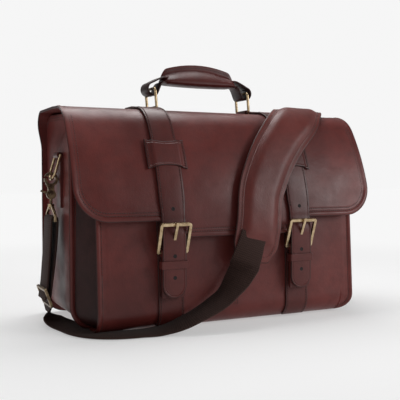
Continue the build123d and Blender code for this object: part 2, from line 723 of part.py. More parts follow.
for side, name in ((-1, "left"), (1, "right")):
    # Sewn tab with a fold that holds the D-ring's bar.
    with BuildPart() as side_tab:
        with BuildSketch(Plane.XZ.offset(-(side_y + side_tab_width / 2))):
            with Locations((side * bar_x, side_bar_z)):
                Circle(tab_bore + side_fold_wall)
            with Locations((side * (gusset_x + side_tab_thickness / 2), (side_tab_low + side_bar_z) / 2)):
                Rectangle(side_tab_thickness, side_bar_z - side_tab_low)
            with Locations((side * (gusset_x - side_tab_thickness), side_bar_z)):
                Rectangle(2 * side_tab_thickness, 6 * tab_bore, mode=Mode.SUBTRACT)
            with Locations((side * bar_x, side_bar_z)):
                Circle(tab_bore, mode=Mode.SUBTRACT)
        extrude(amount=side_tab_width)
    save(side_tab, f"side_tab_{name}")

    # D-ring, leaning out from the side.
    dring_plane = Plane(
        origin=(side * bar_x, side_y, side_bar_z),
        x_dir=(0, 1, 0),
        z_dir=(cos(dring_angle), 0, side * sin(dring_angle)),
    )
    with BuildPart() as side_dring:
        with BuildLine(dring_plane):
            half = dring_length / 2
            bow_start = half - dring_drop
            bow = Polyline((0, 0), (half, 0), (half, bow_start))
            ThreePointArc((half, bow_start), (0, -dring_drop), (-half, bow_start))
            Polyline((-half, bow_start), (-half, 0), (0, 0))
        with BuildSketch(Plane(origin=bow @ 0, z_dir=bow % 0)):
            Circle(dring_wire)
        sweep(transition=Transition.ROUND)
    save(side_dring, f"side_dring_{name}")

    # Snap hook: a ring open on its outer side, its shank and boss, the swivel's post and the rivet.
    with BuildPart() as snap_hook:
        with BuildSketch(Plane.XZ.offset(-(side_y + hook_thickness / 2))):
            with Locations((side * hook_x, hook_z)):
                Circle(hook_radius)
            with Locations((side * hook_x, rivet_z)):
                Circle(hook_boss_radius)
            with Locations((side * hook_x, (hook_z + rivet_z) / 2)):
                Rectangle(hook_shank, rivet_drop)
            with Locations((side * hook_x, hook_z)):
                Circle(hook_hole, mode=Mode.SUBTRACT)
            with Locations((side * (hook_x + hook_radius), hook_z - hook_gap_drop)):
                Rectangle(hook_radius, hook_gap, mode=Mode.SUBTRACT)
        extrude(amount=hook_thickness)
        with BuildSketch(Plane.XY.offset(rivet_z - post_start)):
            with Locations((side * hook_x, side_y)):
                Circle(post_radius)
        extrude(amount=-post_length)
        with BuildSketch(Plane.XY.offset(rivet_z - post_start - post_length)):
            with Locations((side * hook_x, side_y)):
                Circle(post_head_radius)
        extrude(amount=post_head)
        with BuildSketch(Plane.XZ.offset(-hook_face)):
            with Locations((side * hook_x, rivet_z)):
                Circle(rivet_radius)
        extrude(amount=rivet_length)
        with BuildSketch(Plane.XZ.offset(-(hook_face - rivet_length + rivet_head / 3))):
            with Locations((side * hook_x, rivet_z)):
                Circle(rivet_head_radius)
        extrude(amount=rivet_head)
    save(snap_hook, f"snap_hook_{name}")

    # Sprung gate with its thumb lever, turning on the rivet.
    block_x = hook_x + hook_radius - gate_block / 2 - gate_gap
    with BuildPart() as hook_gate:
        with BuildSketch(Plane.XZ.offset(-(hook_face - gate_gap))):
            with Locations((side * hook_x, rivet_z)):
                Circle(gate_boss_radius)
            with BuildLine():
                Line((side * hook_x, rivet_z), (side * block_x, hook_z - gate_block_drop))
            trace(line_width=gate_arm)
            with BuildLine():
                Line((side * hook_x, rivet_z), (side * (hook_x + lever_length), rivet_z + lever_rise))
            trace(line_width=lever_width)
            with Locations((side * hook_x, rivet_z)):
                Circle(rivet_radius + rivet_clearance, mode=Mode.SUBTRACT)
        extrude(amount=gate_plate)
        with BuildSketch(Plane.XZ.offset(-(side_y + hook_thickness / 2))):
            with Locations((side * block_x, hook_z - gate_block_drop)):
                Rectangle(gate_block, gate_block_height)
        extrude(amount=hook_thickness + gate_gap + gate_plate)
    save(hook_gate, f"hook_gate_{name}")

    # Swivel eye: a tapered loop that the hook's post turns in and the webbing passes through.
    with BuildPart() as swivel_eye:
        with BuildSketch(Plane.YZ.offset(side * hook_x - eye_thickness / 2)):
            for half_neck, half_width, wall, top, mode in (
                (eye_neck / 2, eye_width / 2, 0, eye_top, Mode.ADD),
                (eye_neck / 3, inner_half, eye_wall, eye_top - eye_neck_wall, Mode.SUBTRACT),
            ):
                with BuildLine() as outline:
                    Polyline(
                        (side_y - half_neck, top),
                        (side_y + half_neck, top),
                        (side_y + half_width, eye_bottom + eye_square),
                        (side_y + half_width, eye_bottom + wall),
                        (side_y - half_width, eye_bottom + wall),
                        (side_y - half_width, eye_bottom + eye_square),
                        close=True,
                    )
                make_face(outline.edges(), mode=mode)
        extrude(amount=eye_thickness)
        with BuildSketch(Plane.XY.offset(eye_top - eye_neck_wall)):
            with Locations((side * hook_x, side_y)):
                Circle(eye_hub_radius)
        extrude(amount=eye_neck_wall)
        with BuildSketch(Plane.XY.offset(eye_top - 2 * eye_neck_wall)):
            with Locations((side * hook_x, side_y)):
                Circle(post_radius + post_clearance)
        extrude(amount=2 * eye_neck_wall + eye_hub_radius, mode=Mode.SUBTRACT)
    save(swivel_eye, f"swivel_eye_{name}")

# ---------------------------------------------------------------- shoulder strap
pad_left_edge = ((-12, 108), (-6, 155), (30, 217), (112, 290))
pad_right_edge = ((26, 72), (44, 100), (71, 171), (104, 222), (168, 290))
pad_start_angle = 17.0      # the pad on the flap begins here, clear of the hinge as the flap lifts
pad_rear_lift = 3.0
pad_rear_start = 16.0
pad_rear_end = 54.0
pad_rear_slope = 0.75       # sideways shift per length as the pad runs back over the top

# Padded sleeve on the flap, from its foot up to the top edge.
with BuildPart() as shoulder_pad:
    with BuildSketch(Plane.YZ):
        with BuildLine():
            middle = pad_lift + pad_thickness / 2
            turn = radians(pad_start_angle)
            start = (
                flap_bend_y - (flap_bend_radius + middle) * sin(turn),
                body_height - flap_bend_radius + (flap_bend_radius + middle) * cos(turn),
            )
            bend = JernArc(
                start, (-cos(turn), -sin(turn)), flap_bend_radius + middle, flap_bend_angle - pad_start_angle
            )
            front = JernArc(bend @ 1, bend % 1, flap_front_radius + middle, 90 - flap_bend_angle)
            Line(front @ 1, ((front @ 1).X, pad_right_edge[0][1] - 2))
        trace(line_width=pad_thickness)
    extrude(amount=flap_width / 2, both=True)
    with BuildSketch(Plane.XZ):
        with BuildLine():
            Spline(pad_left_edge)
            Spline(pad_right_edge)
            Line(pad_left_edge[0], pad_right_edge[0])
            Line(pad_left_edge[-1], pad_right_edge[-1])
        make_face()
    extrude(amount=body_depth, both=True, mode=Mode.INTERSECT)
save(shoulder_pad, "shoulder_pad")

# The same sleeve where it lies on the fixed top.
with BuildPart() as shoulder_pad_rear:
    with BuildSketch(Plane.XY.offset(body_height + pad_rear_lift)):
        shift = (pad_rear_end - pad_rear_start) * pad_rear_slope
        near = pad_head_x + pad_rear_slope * pad_rear_start + pad_width / 6
        with BuildLine():
            Polyline(
                (near - pad_width / 2, pad_rear_start),
                (near + pad_width / 2, pad_rear_start),
                (near + shift + webbing_width / 2, pad_rear_end),
                (near + shift - webbing_width / 2, pad_rear_end),
                close=True,
            )
        make_face()
    extrude(amount=pad_thickness)
save(shoulder_pad_rear, "shoulder_pad_rear")


def section_planes(route):
    """Planes square to a webbing's route; each station is its centre and its width direction."""
    planes = []
    for index, (centre, across) in enumerate(route):
        before = Vector(route[max(index - 1, 0)][0])
        after = Vector(route[min(index + 1, len(route) - 1)][0])
        along = (after - before).normalized()
        across = Vector(across)
        across = (across - along * across.dot(along)).normalized()
        planes.append(Plane(origin=centre, x_dir=across, z_dir=along))
    return planes


# Webbing from the slider down to the floor, round the front corner and up to the pad's foot.
front_route = (
    ((-217, 6, 9), (-1.0, 0.0, 0.3)),
    ((-216, -27, 3.6), (-1.0, 0.0, 0.0)),
    ((-214, -57, 2.6), (-1.0, 0.0, 0.0)),
    ((-206, -81, 2.4), (-0.86, -0.5, 0.0)),
    ((-186, -102, 2.4), (-0.55, -0.83, 0.0)),
    ((-156, -105, 2.4), (-0.15, -1.0, 0.0)),
    ((-120, -106, 2.8), (0.0, -1.0, 0.0)),
    ((-94, -110, 8), (-0.1, -0.95, -0.2)),
    ((-71, -114, 17), (-0.15, -0.8, -0.5)),
    ((-31, -113, 38), (-0.05, -0.85, -0.45)),
    ((-9, -112, 62), (0.3, -0.75, -0.5)),
    ((5, -109.5, 84), (0.68, -0.1, -0.7)),
)
with BuildPart() as strap_front:
    for plane in section_planes(front_route):
        with BuildSketch(plane):
            Rectangle(webbing_width, webbing_thickness)
    loft(ruled=True)
save(strap_front, "strap_front")

# Webbing end folded round the left swivel's eye, its two layers hanging to the slider.
fold_radius = eye_thickness / 2 + webbing_thickness / 2 + 1.0
fold_rounding = fold_radius - 0.5
fold_lean = 6.0             # the layers lean out by this much down to the slider
fold_z = eye_bottom + eye_thickness / 2
with BuildPart() as strap_end_left:
    with BuildSketch(Plane.XZ.offset(-(side_y + webbing_width / 2))):
        with BuildLine():
            FilletPolyline(
                (-hook_x - fold_lean, slider_top),
                (-hook_x + fold_radius, fold_z + fold_radius),
                (-hook_x - fold_radius, fold_z + fold_radius),
                (-hook_x - 2 * fold_lean, slider_top),
                radius=fold_rounding,
            )
        trace(line_width=webbing_thickness)
    extrude(amount=webbing_width)
save(strap_end_left, "strap_end_left")

# Slider: a flat rectangular frame with a middle bar.
slider_plane = Plane(
    origin=(-hook_x - 1.5 * fold_lean, side_y, slider_top - slider_length * 2 / 3),
    x_dir=(0, 1, 0),
    z_dir=(-0.94, 0, -0.34),
)
with BuildPart() as strap_slider:
    with BuildSketch(slider_plane):
        slot = webbing_width + slider_slack
        RectangleRounded(slot + 2 * slider_bar, slider_length, slider_corner)
        Rectangle(slot, slider_length - 2 * slider_bar, mode=Mode.SUBTRACT)
        Rectangle(slot, slider_bar)
    extrude(amount=slider_bar / 2, both=True)
save(strap_slider, "strap_slider")

# Webbing from the pad over the right edge, down the side, and back up to the right swivel's eye.
right_route = (
    ((187, 57, 280.7), (-0.8, 0.6, 0.0)),
    ((202, 68, 280.7), (-0.6, 0.8, 0.0)),
    ((216, 74, 281.3), (-0.3, 1.0, 0.0)),
    ((223, 75, 272), (0.0, 1.0, 0.0)),
    ((223, 74, 235), (0.0, 1.0, 0.0)),
    ((223, 66, 190), (0.0, 1.0, 0.0)),
    ((223, 52, 145), (0.0, 1.0, 0.0)),
    ((223, 33, 100), (0.0, 1.0, 0.0)),
    ((223, 18, 72), (0.0, 1.0, 0.0)),
    ((224, 11, 56), (0.0, 1.0, 0.0)),
    ((229, 10, 48), (0.0, 1.0, 0.0)),
    ((236, 10, 49), (0.0, 1.0, 0.0)),
    ((239, 10, 58), (0.0, 1.0, 0.0)),
    ((236, 10, 78), (0.0, 1.0, 0.0)),
    ((229, 10, 102), (0.0, 1.0, 0.0)),
    ((222, 10, 124), (0.0, 1.0, 0.0)),
)
with BuildPart() as strap_right:
    for plane in section_planes(right_route):
        with BuildSketch(plane):
            Rectangle(webbing_width, webbing_thickness)
    loft(ruled=True)
    with BuildSketch(Plane.XZ.offset(-(side_y + webbing_width / 2))):
        with BuildLine():
            FilletPolyline(
                (hook_x + fold_radius, right_route[-1][0][2] + webbing_thickness),
                (hook_x + fold_radius, fold_z + fold_radius),
                (hook_x - fold_radius, fold_z + fold_radius),
                (hook_x - fold_radius, fold_z - webbing_width),
                radius=fold_rounding,
            )
        trace(line_width=webbing_thickness)
    extrude(amount=webbing_width)
save(strap_right, "strap_right")
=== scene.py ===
# %% [markdown]
# # A two-strap leather briefcase
# The frame gives every piece its place and its size; this file gives the leather, the thread and
# the brass their looks. Lengths below are millimetres until a mesh is made, then metres.

from math import acos, asin, cos, hypot, pi, radians, sin, sqrt

import bmesh
import bpy
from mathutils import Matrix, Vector


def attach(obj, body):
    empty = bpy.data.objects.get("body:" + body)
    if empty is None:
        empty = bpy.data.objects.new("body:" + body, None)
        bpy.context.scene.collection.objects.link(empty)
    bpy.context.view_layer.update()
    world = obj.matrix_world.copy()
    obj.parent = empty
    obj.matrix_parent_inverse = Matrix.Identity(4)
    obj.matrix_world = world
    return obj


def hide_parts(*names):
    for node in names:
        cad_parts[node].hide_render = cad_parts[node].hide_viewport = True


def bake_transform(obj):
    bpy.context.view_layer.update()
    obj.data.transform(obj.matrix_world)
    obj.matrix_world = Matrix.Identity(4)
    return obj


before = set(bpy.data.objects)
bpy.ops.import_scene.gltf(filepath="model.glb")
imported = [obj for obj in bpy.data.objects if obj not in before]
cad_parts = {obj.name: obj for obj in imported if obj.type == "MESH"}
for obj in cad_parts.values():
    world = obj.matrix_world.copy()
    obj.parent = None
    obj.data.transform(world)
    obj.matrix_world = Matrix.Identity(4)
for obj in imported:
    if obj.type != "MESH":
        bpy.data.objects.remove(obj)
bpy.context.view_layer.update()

# %% [markdown]
# The bag is drawn from a few lines that every piece shares. The most important is the line that
# the leather follows in side view: up the back, over the crown, along the flat top, over the
# shoulder of the flap and down its front. Measured along that line, straps, seams and the pad
# all find their places with one number and a lift above the leather.

# %% Main sizes
top_z = 279.0
back_y = 90.0
crown = 18.0
bend_y = -11.0
shoulder_r = 48.5
shoulder_turn = radians(58)
front_r = 303.0
turn_y = bend_y - shoulder_r * sin(shoulder_turn)
turn_z = top_z - shoulder_r * (1 - cos(shoulder_turn))
shoulder_len = shoulder_r * shoulder_turn
flat_len = back_y - crown - bend_y
crown_len = crown * pi / 2
strap_x = 92.3
hinge_start, hinge_end = (0, -0.006, 0.280), (0, -0.030, 0.275)


def over_top(s, lift=0.0):
    """Y, Z and the outward normal, a length s along the leather from where the flap bends."""
    if s >= 0:
        if s < shoulder_len:
            a = s / shoulder_r
            cy, cz, r = bend_y, top_z - shoulder_r, shoulder_r
        else:
            a = shoulder_turn + (s - shoulder_len) / front_r
            cy, cz = turn_y + front_r * sin(shoulder_turn), turn_z - front_r * cos(shoulder_turn)
            r = front_r
        ny, nz = -sin(a), cos(a)
        return cy + (r + lift) * ny, cz + (r + lift) * nz, ny, nz
    t = -s
    if t < flat_len:
        return bend_y + t, top_z + lift, 0.0, 1.0
    if t < flat_len + crown_len:
        a = (t - flat_len) / crown
        ny, nz = sin(a), cos(a)
        return back_y - crown + (crown + lift) * ny, top_z - crown + (crown + lift) * nz, ny, nz
    return back_y + lift, top_z - crown - (t - flat_len - crown_len), 1.0, 0.0


def flap_s(z):
    """Length along the line where the flap's front is at a height."""
    return shoulder_len + front_r * (acos(cos(shoulder_turn) - (turn_z - z) / front_r) - shoulder_turn)


def back_s(z):
    """Length along the line where the back is at a height; negative, because it runs backwards."""
    return -(flat_len + crown_len + top_z - crown - z)


print("line over the top", round(flap_s(115) - back_s(0)), "mm")

# %% [markdown]
# Two helpers make most of the bag. A skin is a sheet cut to an outline: each of its columns has
# its own start and end, so rounded corners come out true. A swept band or wire follows a path
# with a section. Both keep the distance from the cut edge in an attribute, which the leather
# material uses to darken the edge as burnishing does.

# %% Helpers for meshes
def ease(t):
    t = max(0.0, min(1.0, t))
    return t * t * (3 - 2 * t)


def new_piece(name, verts, faces, material, edge=None, uv=None):
    mesh = bpy.data.meshes.new(name)
    mesh.from_pydata([(x / 1000, y / 1000, z / 1000) for x, y, z in verts], [], faces)
    if edge is not None:
        layer = mesh.attributes.new("edge", "FLOAT", "POINT")
        layer.data.foreach_set("value", edge)
    if uv is not None:
        layer = mesh.uv_layers.new(name="UVMap")
        for loop in mesh.loops:
            layer.data[loop.index].uv = uv[loop.vertex_index]
    mesh.polygons.foreach_set("use_smooth", [True] * len(mesh.polygons))
    mesh.materials.append(material)
    piece = bpy.data.objects.new(name, mesh)
    bpy.context.scene.collection.objects.link(piece)
    return piece


def settle(piece):
    """Turns a piece and its modifiers into a plain mesh."""
    bpy.context.view_layer.update()
    graph = bpy.context.evaluated_depsgraph_get()
    done = piece.evaluated_get(graph)
    mesh = bpy.data.meshes.new_from_object(done, preserve_all_data_layers=True, depsgraph=graph)
    piece.modifiers.clear()
    old = piece.data
    piece.data = mesh
    bpy.data.meshes.remove(old)
    mesh.name = piece.name
    return piece


def thicken(piece, thickness, round_off=0.6):
    """Gives a skin its thickness inwards, rounds its cut edges, and makes it a plain mesh."""
    wall = piece.modifiers.new("thickness", "SOLIDIFY")
    wall.thickness = thickness / 1000
    wall.offset = -1
    wall.use_even_offset = True
    bevel = piece.modifiers.new("round", "BEVEL")
    bevel.width = round_off / 1000
    bevel.segments = 2
    bevel.limit_method = "ANGLE"
    bevel.angle_limit = radians(50)
    return settle(piece)


def skin(name, columns, rows, place, edge_of, material, thickness, outer, round_off=0.6, crowd=0.0):
    """A sheet from columns of (x, start, end). place(x, s) is a point of its outer face, edge_of(x, s)
    the distance from the cut edge, and outer the way that its middle column's last row faces.
    crowd, from 0 to 1, draws the rows together towards both ends."""
    verts, edges = [], []
    for x, start, end in columns:
        for j in range(rows + 1):
            share = j / rows
            share -= crowd * sin(2 * pi * share) / (2 * pi)
            s = start + (end - start) * share
            verts.append(place(x, s))
            edges.append(max(0.0, edge_of(x, s)))
    n = rows + 1
    faces = [
        (i * n + j, i * n + j + 1, (i + 1) * n + j + 1, (i + 1) * n + j)
        for i in range(len(columns) - 1)
        for j in range(rows)
    ]
    piece = new_piece(name, verts, faces, material, edges)
    seen = piece.data.polygons[(len(columns) // 2) * rows + rows - 1]
    if seen.normal.dot(Vector(outer)) < 0:
        piece.data.flip_normals()
    return thicken(piece, thickness, round_off)


def frames_along(path, up, closed):
    """Tangent, side and up at each point of a path. up is one vector or one for each point."""
    out = []
    n = len(path)
    for i, p in enumerate(path):
        before = path[(i - 1) % n] if closed or i > 0 else path[i]
        after = path[(i + 1) % n] if closed or i < n - 1 else path[i]
        tangent = (Vector(after) - Vector(before)).normalized()
        u = Vector(up[i] if isinstance(up, list) else up)
        u = (u - tangent * u.dot(tangent)).normalized()
        out.append((tangent, tangent.cross(u), u))
    return out


def sweep(name, path, up, section, material, closed=False, edge=None, uv_width=None):
    """A closed shape along a path. section(i, share) gives (side, up) points; share runs 0 to 1."""
    turn = frames_along(path, up, closed)
    verts, edges, uv = [], [], []
    total, along = 0.0, [0.0]
    for a, b in zip(path, path[1:]):
        total += (Vector(b) - Vector(a)).length
        along.append(total)
    m = 0
    for i, p in enumerate(path):
        ring = section(i, along[i] / max(total, 1e-6))
        m = len(ring)
        _, side, u = turn[i]
        for a, b in ring:
            verts.append(tuple(Vector(p) + side * a + u * b))
            if edge is not None:
                edges.append(edge(a, b))
            if uv_width:
                uv.append((a / uv_width + 0.5, along[i] / uv_width))
    n = len(path)
    faces = []
    for i in range(n if closed else n - 1):
        k = (i + 1) % n
        for j in range(m):
            l = (j + 1) % m
            faces.append((i * m + j, i * m + l, k * m + l, k * m + j))
    if not closed:
        faces.append(tuple(reversed(range(m))))
        faces.append(tuple((n - 1) * m + j for j in range(m)))
    piece = new_piece(name, verts, faces, material, edges or None, uv or None)
    work = bmesh.new()
    work.from_mesh(piece.data)
    bmesh.ops.recalc_face_normals(work, faces=work.faces)
    work.to_mesh(piece.data)
    work.free()
    return piece


def band_section(width, thickness, round_off=0.5):
    """Outline of a flat band with rounded edges, as (side, up) points."""
    w, t, r = width / 2, thickness / 2, min(round_off, thickness / 2 - 0.01)
    corners = []
    for sx, sy, start in ((1, 1, 0), (-1, 1, 90), (-1, -1, 180), (1, -1, 270)):
        for k in range(3):
            a = radians(start + 45 * k)
            corners.append((sx * (w - r) + r * cos(a), sy * (t - r) + r * sin(a)))
    return corners


def smooth_path(points, step=3.0):
    """A Catmull-Rom line through stations; each station may hold any number of values."""
    pts = [Vector(p) for p in points]
    out = []
    for i in range(len(pts) - 1):
        a, b = pts[max(i - 1, 0)], pts[i]
        c, d = pts[i + 1], pts[min(i + 2, len(pts) - 1)]
        n = max(2, int((c.to_3d() - b.to_3d()).length / step))
        for k in range(n):
            t = k / n
            out.append(
                0.5 * (2 * b + (c - a) * t + (2 * a - 5 * b + 4 * c - d) * t * t
                       + (3 * b - a - 3 * c + d) * t**3)
            )
    out.append(pts[-1])
    return out


def merge_out(piece):
    """Welds a copied CAD mesh and joins its flat triangles, ready for rounding."""
    work = bmesh.new()
    work.from_mesh(piece.data)
    bmesh.ops.remove_doubles(work, verts=work.verts, dist=1e-6)
    bmesh.ops.dissolve_limit(work, angle_limit=radians(1), verts=work.verts, edges=work.edges)
    work.to_mesh(piece.data)
    work.free()


def rounded_copy(node, body, material, round_off, name=None, edge_mm=6.0):
    """A CAD node's shape with its hard edges rounded, riding on the same body."""
    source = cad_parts[node]
    piece = bpy.data.objects.new(name or f"{node}_rounded", source.data.copy())
    bpy.context.scene.collection.objects.link(piece)
    merge_out(piece)
    piece.data.materials.clear()
    piece.data.materials.append(material)
    bevel = piece.modifiers.new("round", "BEVEL")
    bevel.width = round_off / 1000
    bevel.segments = 3
    bevel.limit_method = "ANGLE"
    bevel.angle_limit = radians(40)
    settle(piece)
    piece.data.polygons.foreach_set("use_smooth", [True] * len(piece.data.polygons))
    if "edge" not in piece.data.attributes:
        layer = piece.data.attributes.new("edge", "FLOAT", "POINT")
        layer.data.foreach_set("value", [edge_mm] * len(piece.data.vertices))
    sharp = piece.modifiers.new("keep flats", "WEIGHTED_NORMAL")
    sharp.keep_sharp = True
    settle(piece)
    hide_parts(node)
    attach(piece, body)
    return piece


print("helpers ready")

# %% [markdown]
# Oxblood leather is brown with red under it. The colour drifts slowly over a hide, its grain is
# fine and low, and the cut edges are burnished darker. A crease pressed a few
# millimetres inside the edge catches a thin line of light. All of that comes from Object
# coordinates and the edge attribute, so it holds on a bent sheet.

# %% Leather
def leather(name, deep, warm, gloss, grain=1.0, crease_at=None, edge_tint=(0.020, 0.008, 0.007, 1)):
    made = bpy.data.materials.new(name)
    made.use_nodes = True
    tree = made.node_tree
    nodes, links = tree.nodes, tree.links
    shader = nodes["Principled BSDF"]
    shader.inputs["Specular IOR Level"].default_value = 0.26
    shader.inputs["Coat Weight"].default_value = 0.06
    shader.inputs["Coat Roughness"].default_value = 0.30
    place = nodes.new("ShaderNodeTexCoord")

    def noise(scale, detail, rough=0.5):
        n = nodes.new("ShaderNodeTexNoise")
        n.inputs["Scale"].default_value = scale
        n.inputs["Detail"].default_value = detail
        n.inputs["Roughness"].default_value = rough
        links.new(place.outputs["Object"], n.inputs["Vector"])
        return n

    def mapped(source, low, high, out_low, out_high):
        n = nodes.new("ShaderNodeMapRange")
        n.clamp = True
        for key, value in (("From Min", low), ("From Max", high), ("To Min", out_low), ("To Max", out_high)):
            n.inputs[key].default_value = value
        links.new(source, n.inputs["Value"])
        return n.outputs["Result"]

    def mixed(factor, a, b, blend="MIX"):
        n = nodes.new("ShaderNodeMix")
        n.data_type = "RGBA"
        n.blend_type = blend
        if hasattr(factor, "links"):
            links.new(factor, n.inputs["Factor"])
        else:
            n.inputs["Factor"].default_value = factor
        for key, value in (("A", a), ("B", b)):
            socket = [i for i in n.inputs if i.name == key and i.type == "RGBA"][0]
            if hasattr(value, "links"):
                links.new(value, socket)
            else:
                socket.default_value = value
        return [o for o in n.outputs if o.type == "RGBA"][0]

    clouds = noise(9, 3, 0.55)
    mottle = noise(70, 4, 0.6)
    colour = mixed(mapped(clouds.outputs["Fac"], 0.35, 0.65, 0, 1), (*deep, 1), (*warm, 1))
    colour = mixed(mapped(mottle.outputs["Fac"], 0.4, 0.7, 0, 0.35), colour, (*[c * 0.62 for c in deep], 1))
    edge = nodes.new("ShaderNodeAttribute")
    edge.attribute_name = "edge"
    burnish = mapped(edge.outputs["Fac"], 0.25, 1.5, 0.85, 0)
    colour = mixed(burnish, colour, edge_tint)
    rough = mapped(noise(35, 3).outputs["Fac"], 0.3, 0.7, gloss - 0.07, gloss + 0.09)
    links.new(colour, shader.inputs["Base Color"])
    links.new(rough, shader.inputs["Roughness"])
    pores = nodes.new("ShaderNodeTexVoronoi")
    pores.inputs["Scale"].default_value = 950
    links.new(place.outputs["Object"], pores.inputs["Vector"])
    soft = noise(260, 4, 0.6)
    height = nodes.new("ShaderNodeMath")
    height.operation = "MULTIPLY_ADD"
    height.inputs[1].default_value = 0.55
    links.new(pores.outputs["Distance"], height.inputs[0])
    links.new(soft.outputs["Fac"], height.inputs[2])
    fine = nodes.new("ShaderNodeBump")
    fine.inputs["Strength"].default_value = 0.22 * grain
    fine.inputs["Distance"].default_value = 0.0006
    links.new(height.outputs[0], fine.inputs["Height"])
    broad = nodes.new("ShaderNodeBump")
    broad.inputs["Strength"].default_value = 0.30 * grain
    broad.inputs["Distance"].default_value = 0.004
    links.new(noise(22, 2, 0.4).outputs["Fac"], broad.inputs["Height"])
    links.new(fine.outputs["Normal"], broad.inputs["Normal"])
    last = broad
    if crease_at:
        off = nodes.new("ShaderNodeMath")
        off.operation = "SUBTRACT"
        off.inputs[1].default_value = crease_at
        links.new(edge.outputs["Fac"], off.inputs[0])
        size = nodes.new("ShaderNodeMath")
        size.operation = "ABSOLUTE"
        links.new(off.outputs[0], size.inputs[0])
        groove = nodes.new("ShaderNodeBump")
        groove.inputs["Strength"].default_value = 0.8
        groove.inputs["Distance"].default_value = 0.0006
        links.new(mapped(size.outputs[0], 0.0, 0.7, 0, 1), groove.inputs["Height"])
        links.new(last.outputs["Normal"], groove.inputs["Normal"])
        last = groove
    links.new(last.outputs["Normal"], shader.inputs["Normal"])
    return made


body_leather = leather("body leather", (0.074, 0.0124, 0.0104), (0.132, 0.0236, 0.0196), 0.42)
strap_leather = leather(
    "strap leather", (0.056, 0.0096, 0.0080), (0.094, 0.0175, 0.0146), 0.40, crease_at=2.6
)
pad_leather = leather(
    "pad leather", (0.082, 0.0160, 0.0132), (0.135, 0.0290, 0.0240), 0.42, grain=1.2, crease_at=7.6
)
# Much darker leather for the front gussets: painted shade of the deep recess in the bellows fold.
recess_shade_leather = leather("fold leather painted shade", (0.018, 0.0042, 0.0036), (0.040, 0.0092, 0.0078), 0.50)
print("leathers", body_leather.name, strap_leather.name, pad_leather.name, recess_shade_leather.name)

# %% [markdown]
# Brass fittings on an old-style bag are satin, a little darker in the hollows. A noise moves the
# roughness and mixes two golds. Thread is waxed and dark; webbing is woven, so its bump and its
# colour follow the ribbon's own UV map. The lining is a twill.

# %% Brass, thread, webbing, lining
def plain(name, colour, rough, metallic=0.0, sheen=0.0):
    made = bpy.data.materials.new(name)
    made.use_nodes = True
    shader = made.node_tree.nodes["Principled BSDF"]
    shader.inputs["Base Color"].default_value = (*colour, 1)
    shader.inputs["Roughness"].default_value = rough
    shader.inputs["Metallic"].default_value = metallic
    shader.inputs["Sheen Weight"].default_value = sheen
    return made


def worn_brass(name, light, dark, rough):
    made = plain(name, light, rough, metallic=1.0)
    nodes, links = made.node_tree.nodes, made.node_tree.links
    shader = nodes["Principled BSDF"]
    place = nodes.new("ShaderNodeTexCoord")
    spots = nodes.new("ShaderNodeTexNoise")
    spots.inputs["Scale"].default_value = 180
    spots.inputs["Detail"].default_value = 4
    links.new(place.outputs["Object"], spots.inputs["Vector"])
    tint = nodes.new("ShaderNodeValToRGB")
    tint.color_ramp.elements[0].position = 0.35
    tint.color_ramp.elements[0].color = (*dark, 1)
    tint.color_ramp.elements[1].position = 0.65
    tint.color_ramp.elements[1].color = (*light, 1)
    links.new(spots.outputs["Fac"], tint.inputs["Fac"])
    links.new(tint.outputs["Color"], shader.inputs["Base Color"])
    shine = nodes.new("ShaderNodeMapRange")
    shine.inputs["To Min"].default_value = rough - 0.08
    shine.inputs["To Max"].default_value = rough + 0.12
    links.new(spots.outputs["Fac"], shine.inputs["Value"])
    links.new(shine.outputs["Result"], shader.inputs["Roughness"])
    bump = nodes.new("ShaderNodeBump")
    bump.inputs["Strength"].default_value = 0.08
    bump.inputs["Distance"].default_value = 0.0004
    links.new(spots.outputs["Fac"], bump.inputs["Height"])
    links.new(bump.outputs["Normal"], shader.inputs["Normal"])
    return made


def woven(name, dark, light, across, along, coords="UV", depth=0.0005):
    """A plain weave: one wave across the ribbon, one along it, out of step row by row."""
    made = plain(name, light, 0.85, sheen=0.04)
    made.node_tree.nodes["Principled BSDF"].inputs["Specular IOR Level"].default_value = 0.2
    nodes, links = made.node_tree.nodes, made.node_tree.links
    shader = nodes["Principled BSDF"]
    place = nodes.new("ShaderNodeTexCoord")
    parts = nodes.new("ShaderNodeSeparateXYZ")
    links.new(place.outputs[coords], parts.inputs[0])

    def wave(source, scale, shift=None):
        n = nodes.new("ShaderNodeMath")
        n.operation = "MULTIPLY"
        n.inputs[1].default_value = scale
        links.new(source, n.inputs[0])
        last = n.outputs[0]
        if shift is not None:
            add = nodes.new("ShaderNodeMath")
            add.operation = "ADD"
            links.new(last, add.inputs[0])
            links.new(shift, add.inputs[1])
            last = add.outputs[0]
        s = nodes.new("ShaderNodeMath")
        s.operation = "SINE"
        links.new(last, s.inputs[0])
        return s.outputs[0]

    warp = wave(parts.outputs["X"], across)
    weft = wave(parts.outputs["Y"], along, shift=warp)
    both = nodes.new("ShaderNodeMath")
    both.operation = "MULTIPLY"
    links.new(warp, both.inputs[0])
    links.new(weft, both.inputs[1])
    level = nodes.new("ShaderNodeMapRange")
    level.inputs["From Min"].default_value = -1
    links.new(both.outputs[0], level.inputs["Value"])
    tint = nodes.new("ShaderNodeValToRGB")
    tint.color_ramp.elements[0].color = (*dark, 1)
    tint.color_ramp.elements[1].color = (*light, 1)
    links.new(level.outputs["Result"], tint.inputs["Fac"])
    links.new(tint.outputs["Color"], shader.inputs["Base Color"])
    bump = nodes.new("ShaderNodeBump")
    bump.inputs["Strength"].default_value = 0.5
    bump.inputs["Distance"].default_value = depth
    links.new(level.outputs["Result"], bump.inputs["Height"])
    links.new(bump.outputs["Normal"], shader.inputs["Normal"])
    return made


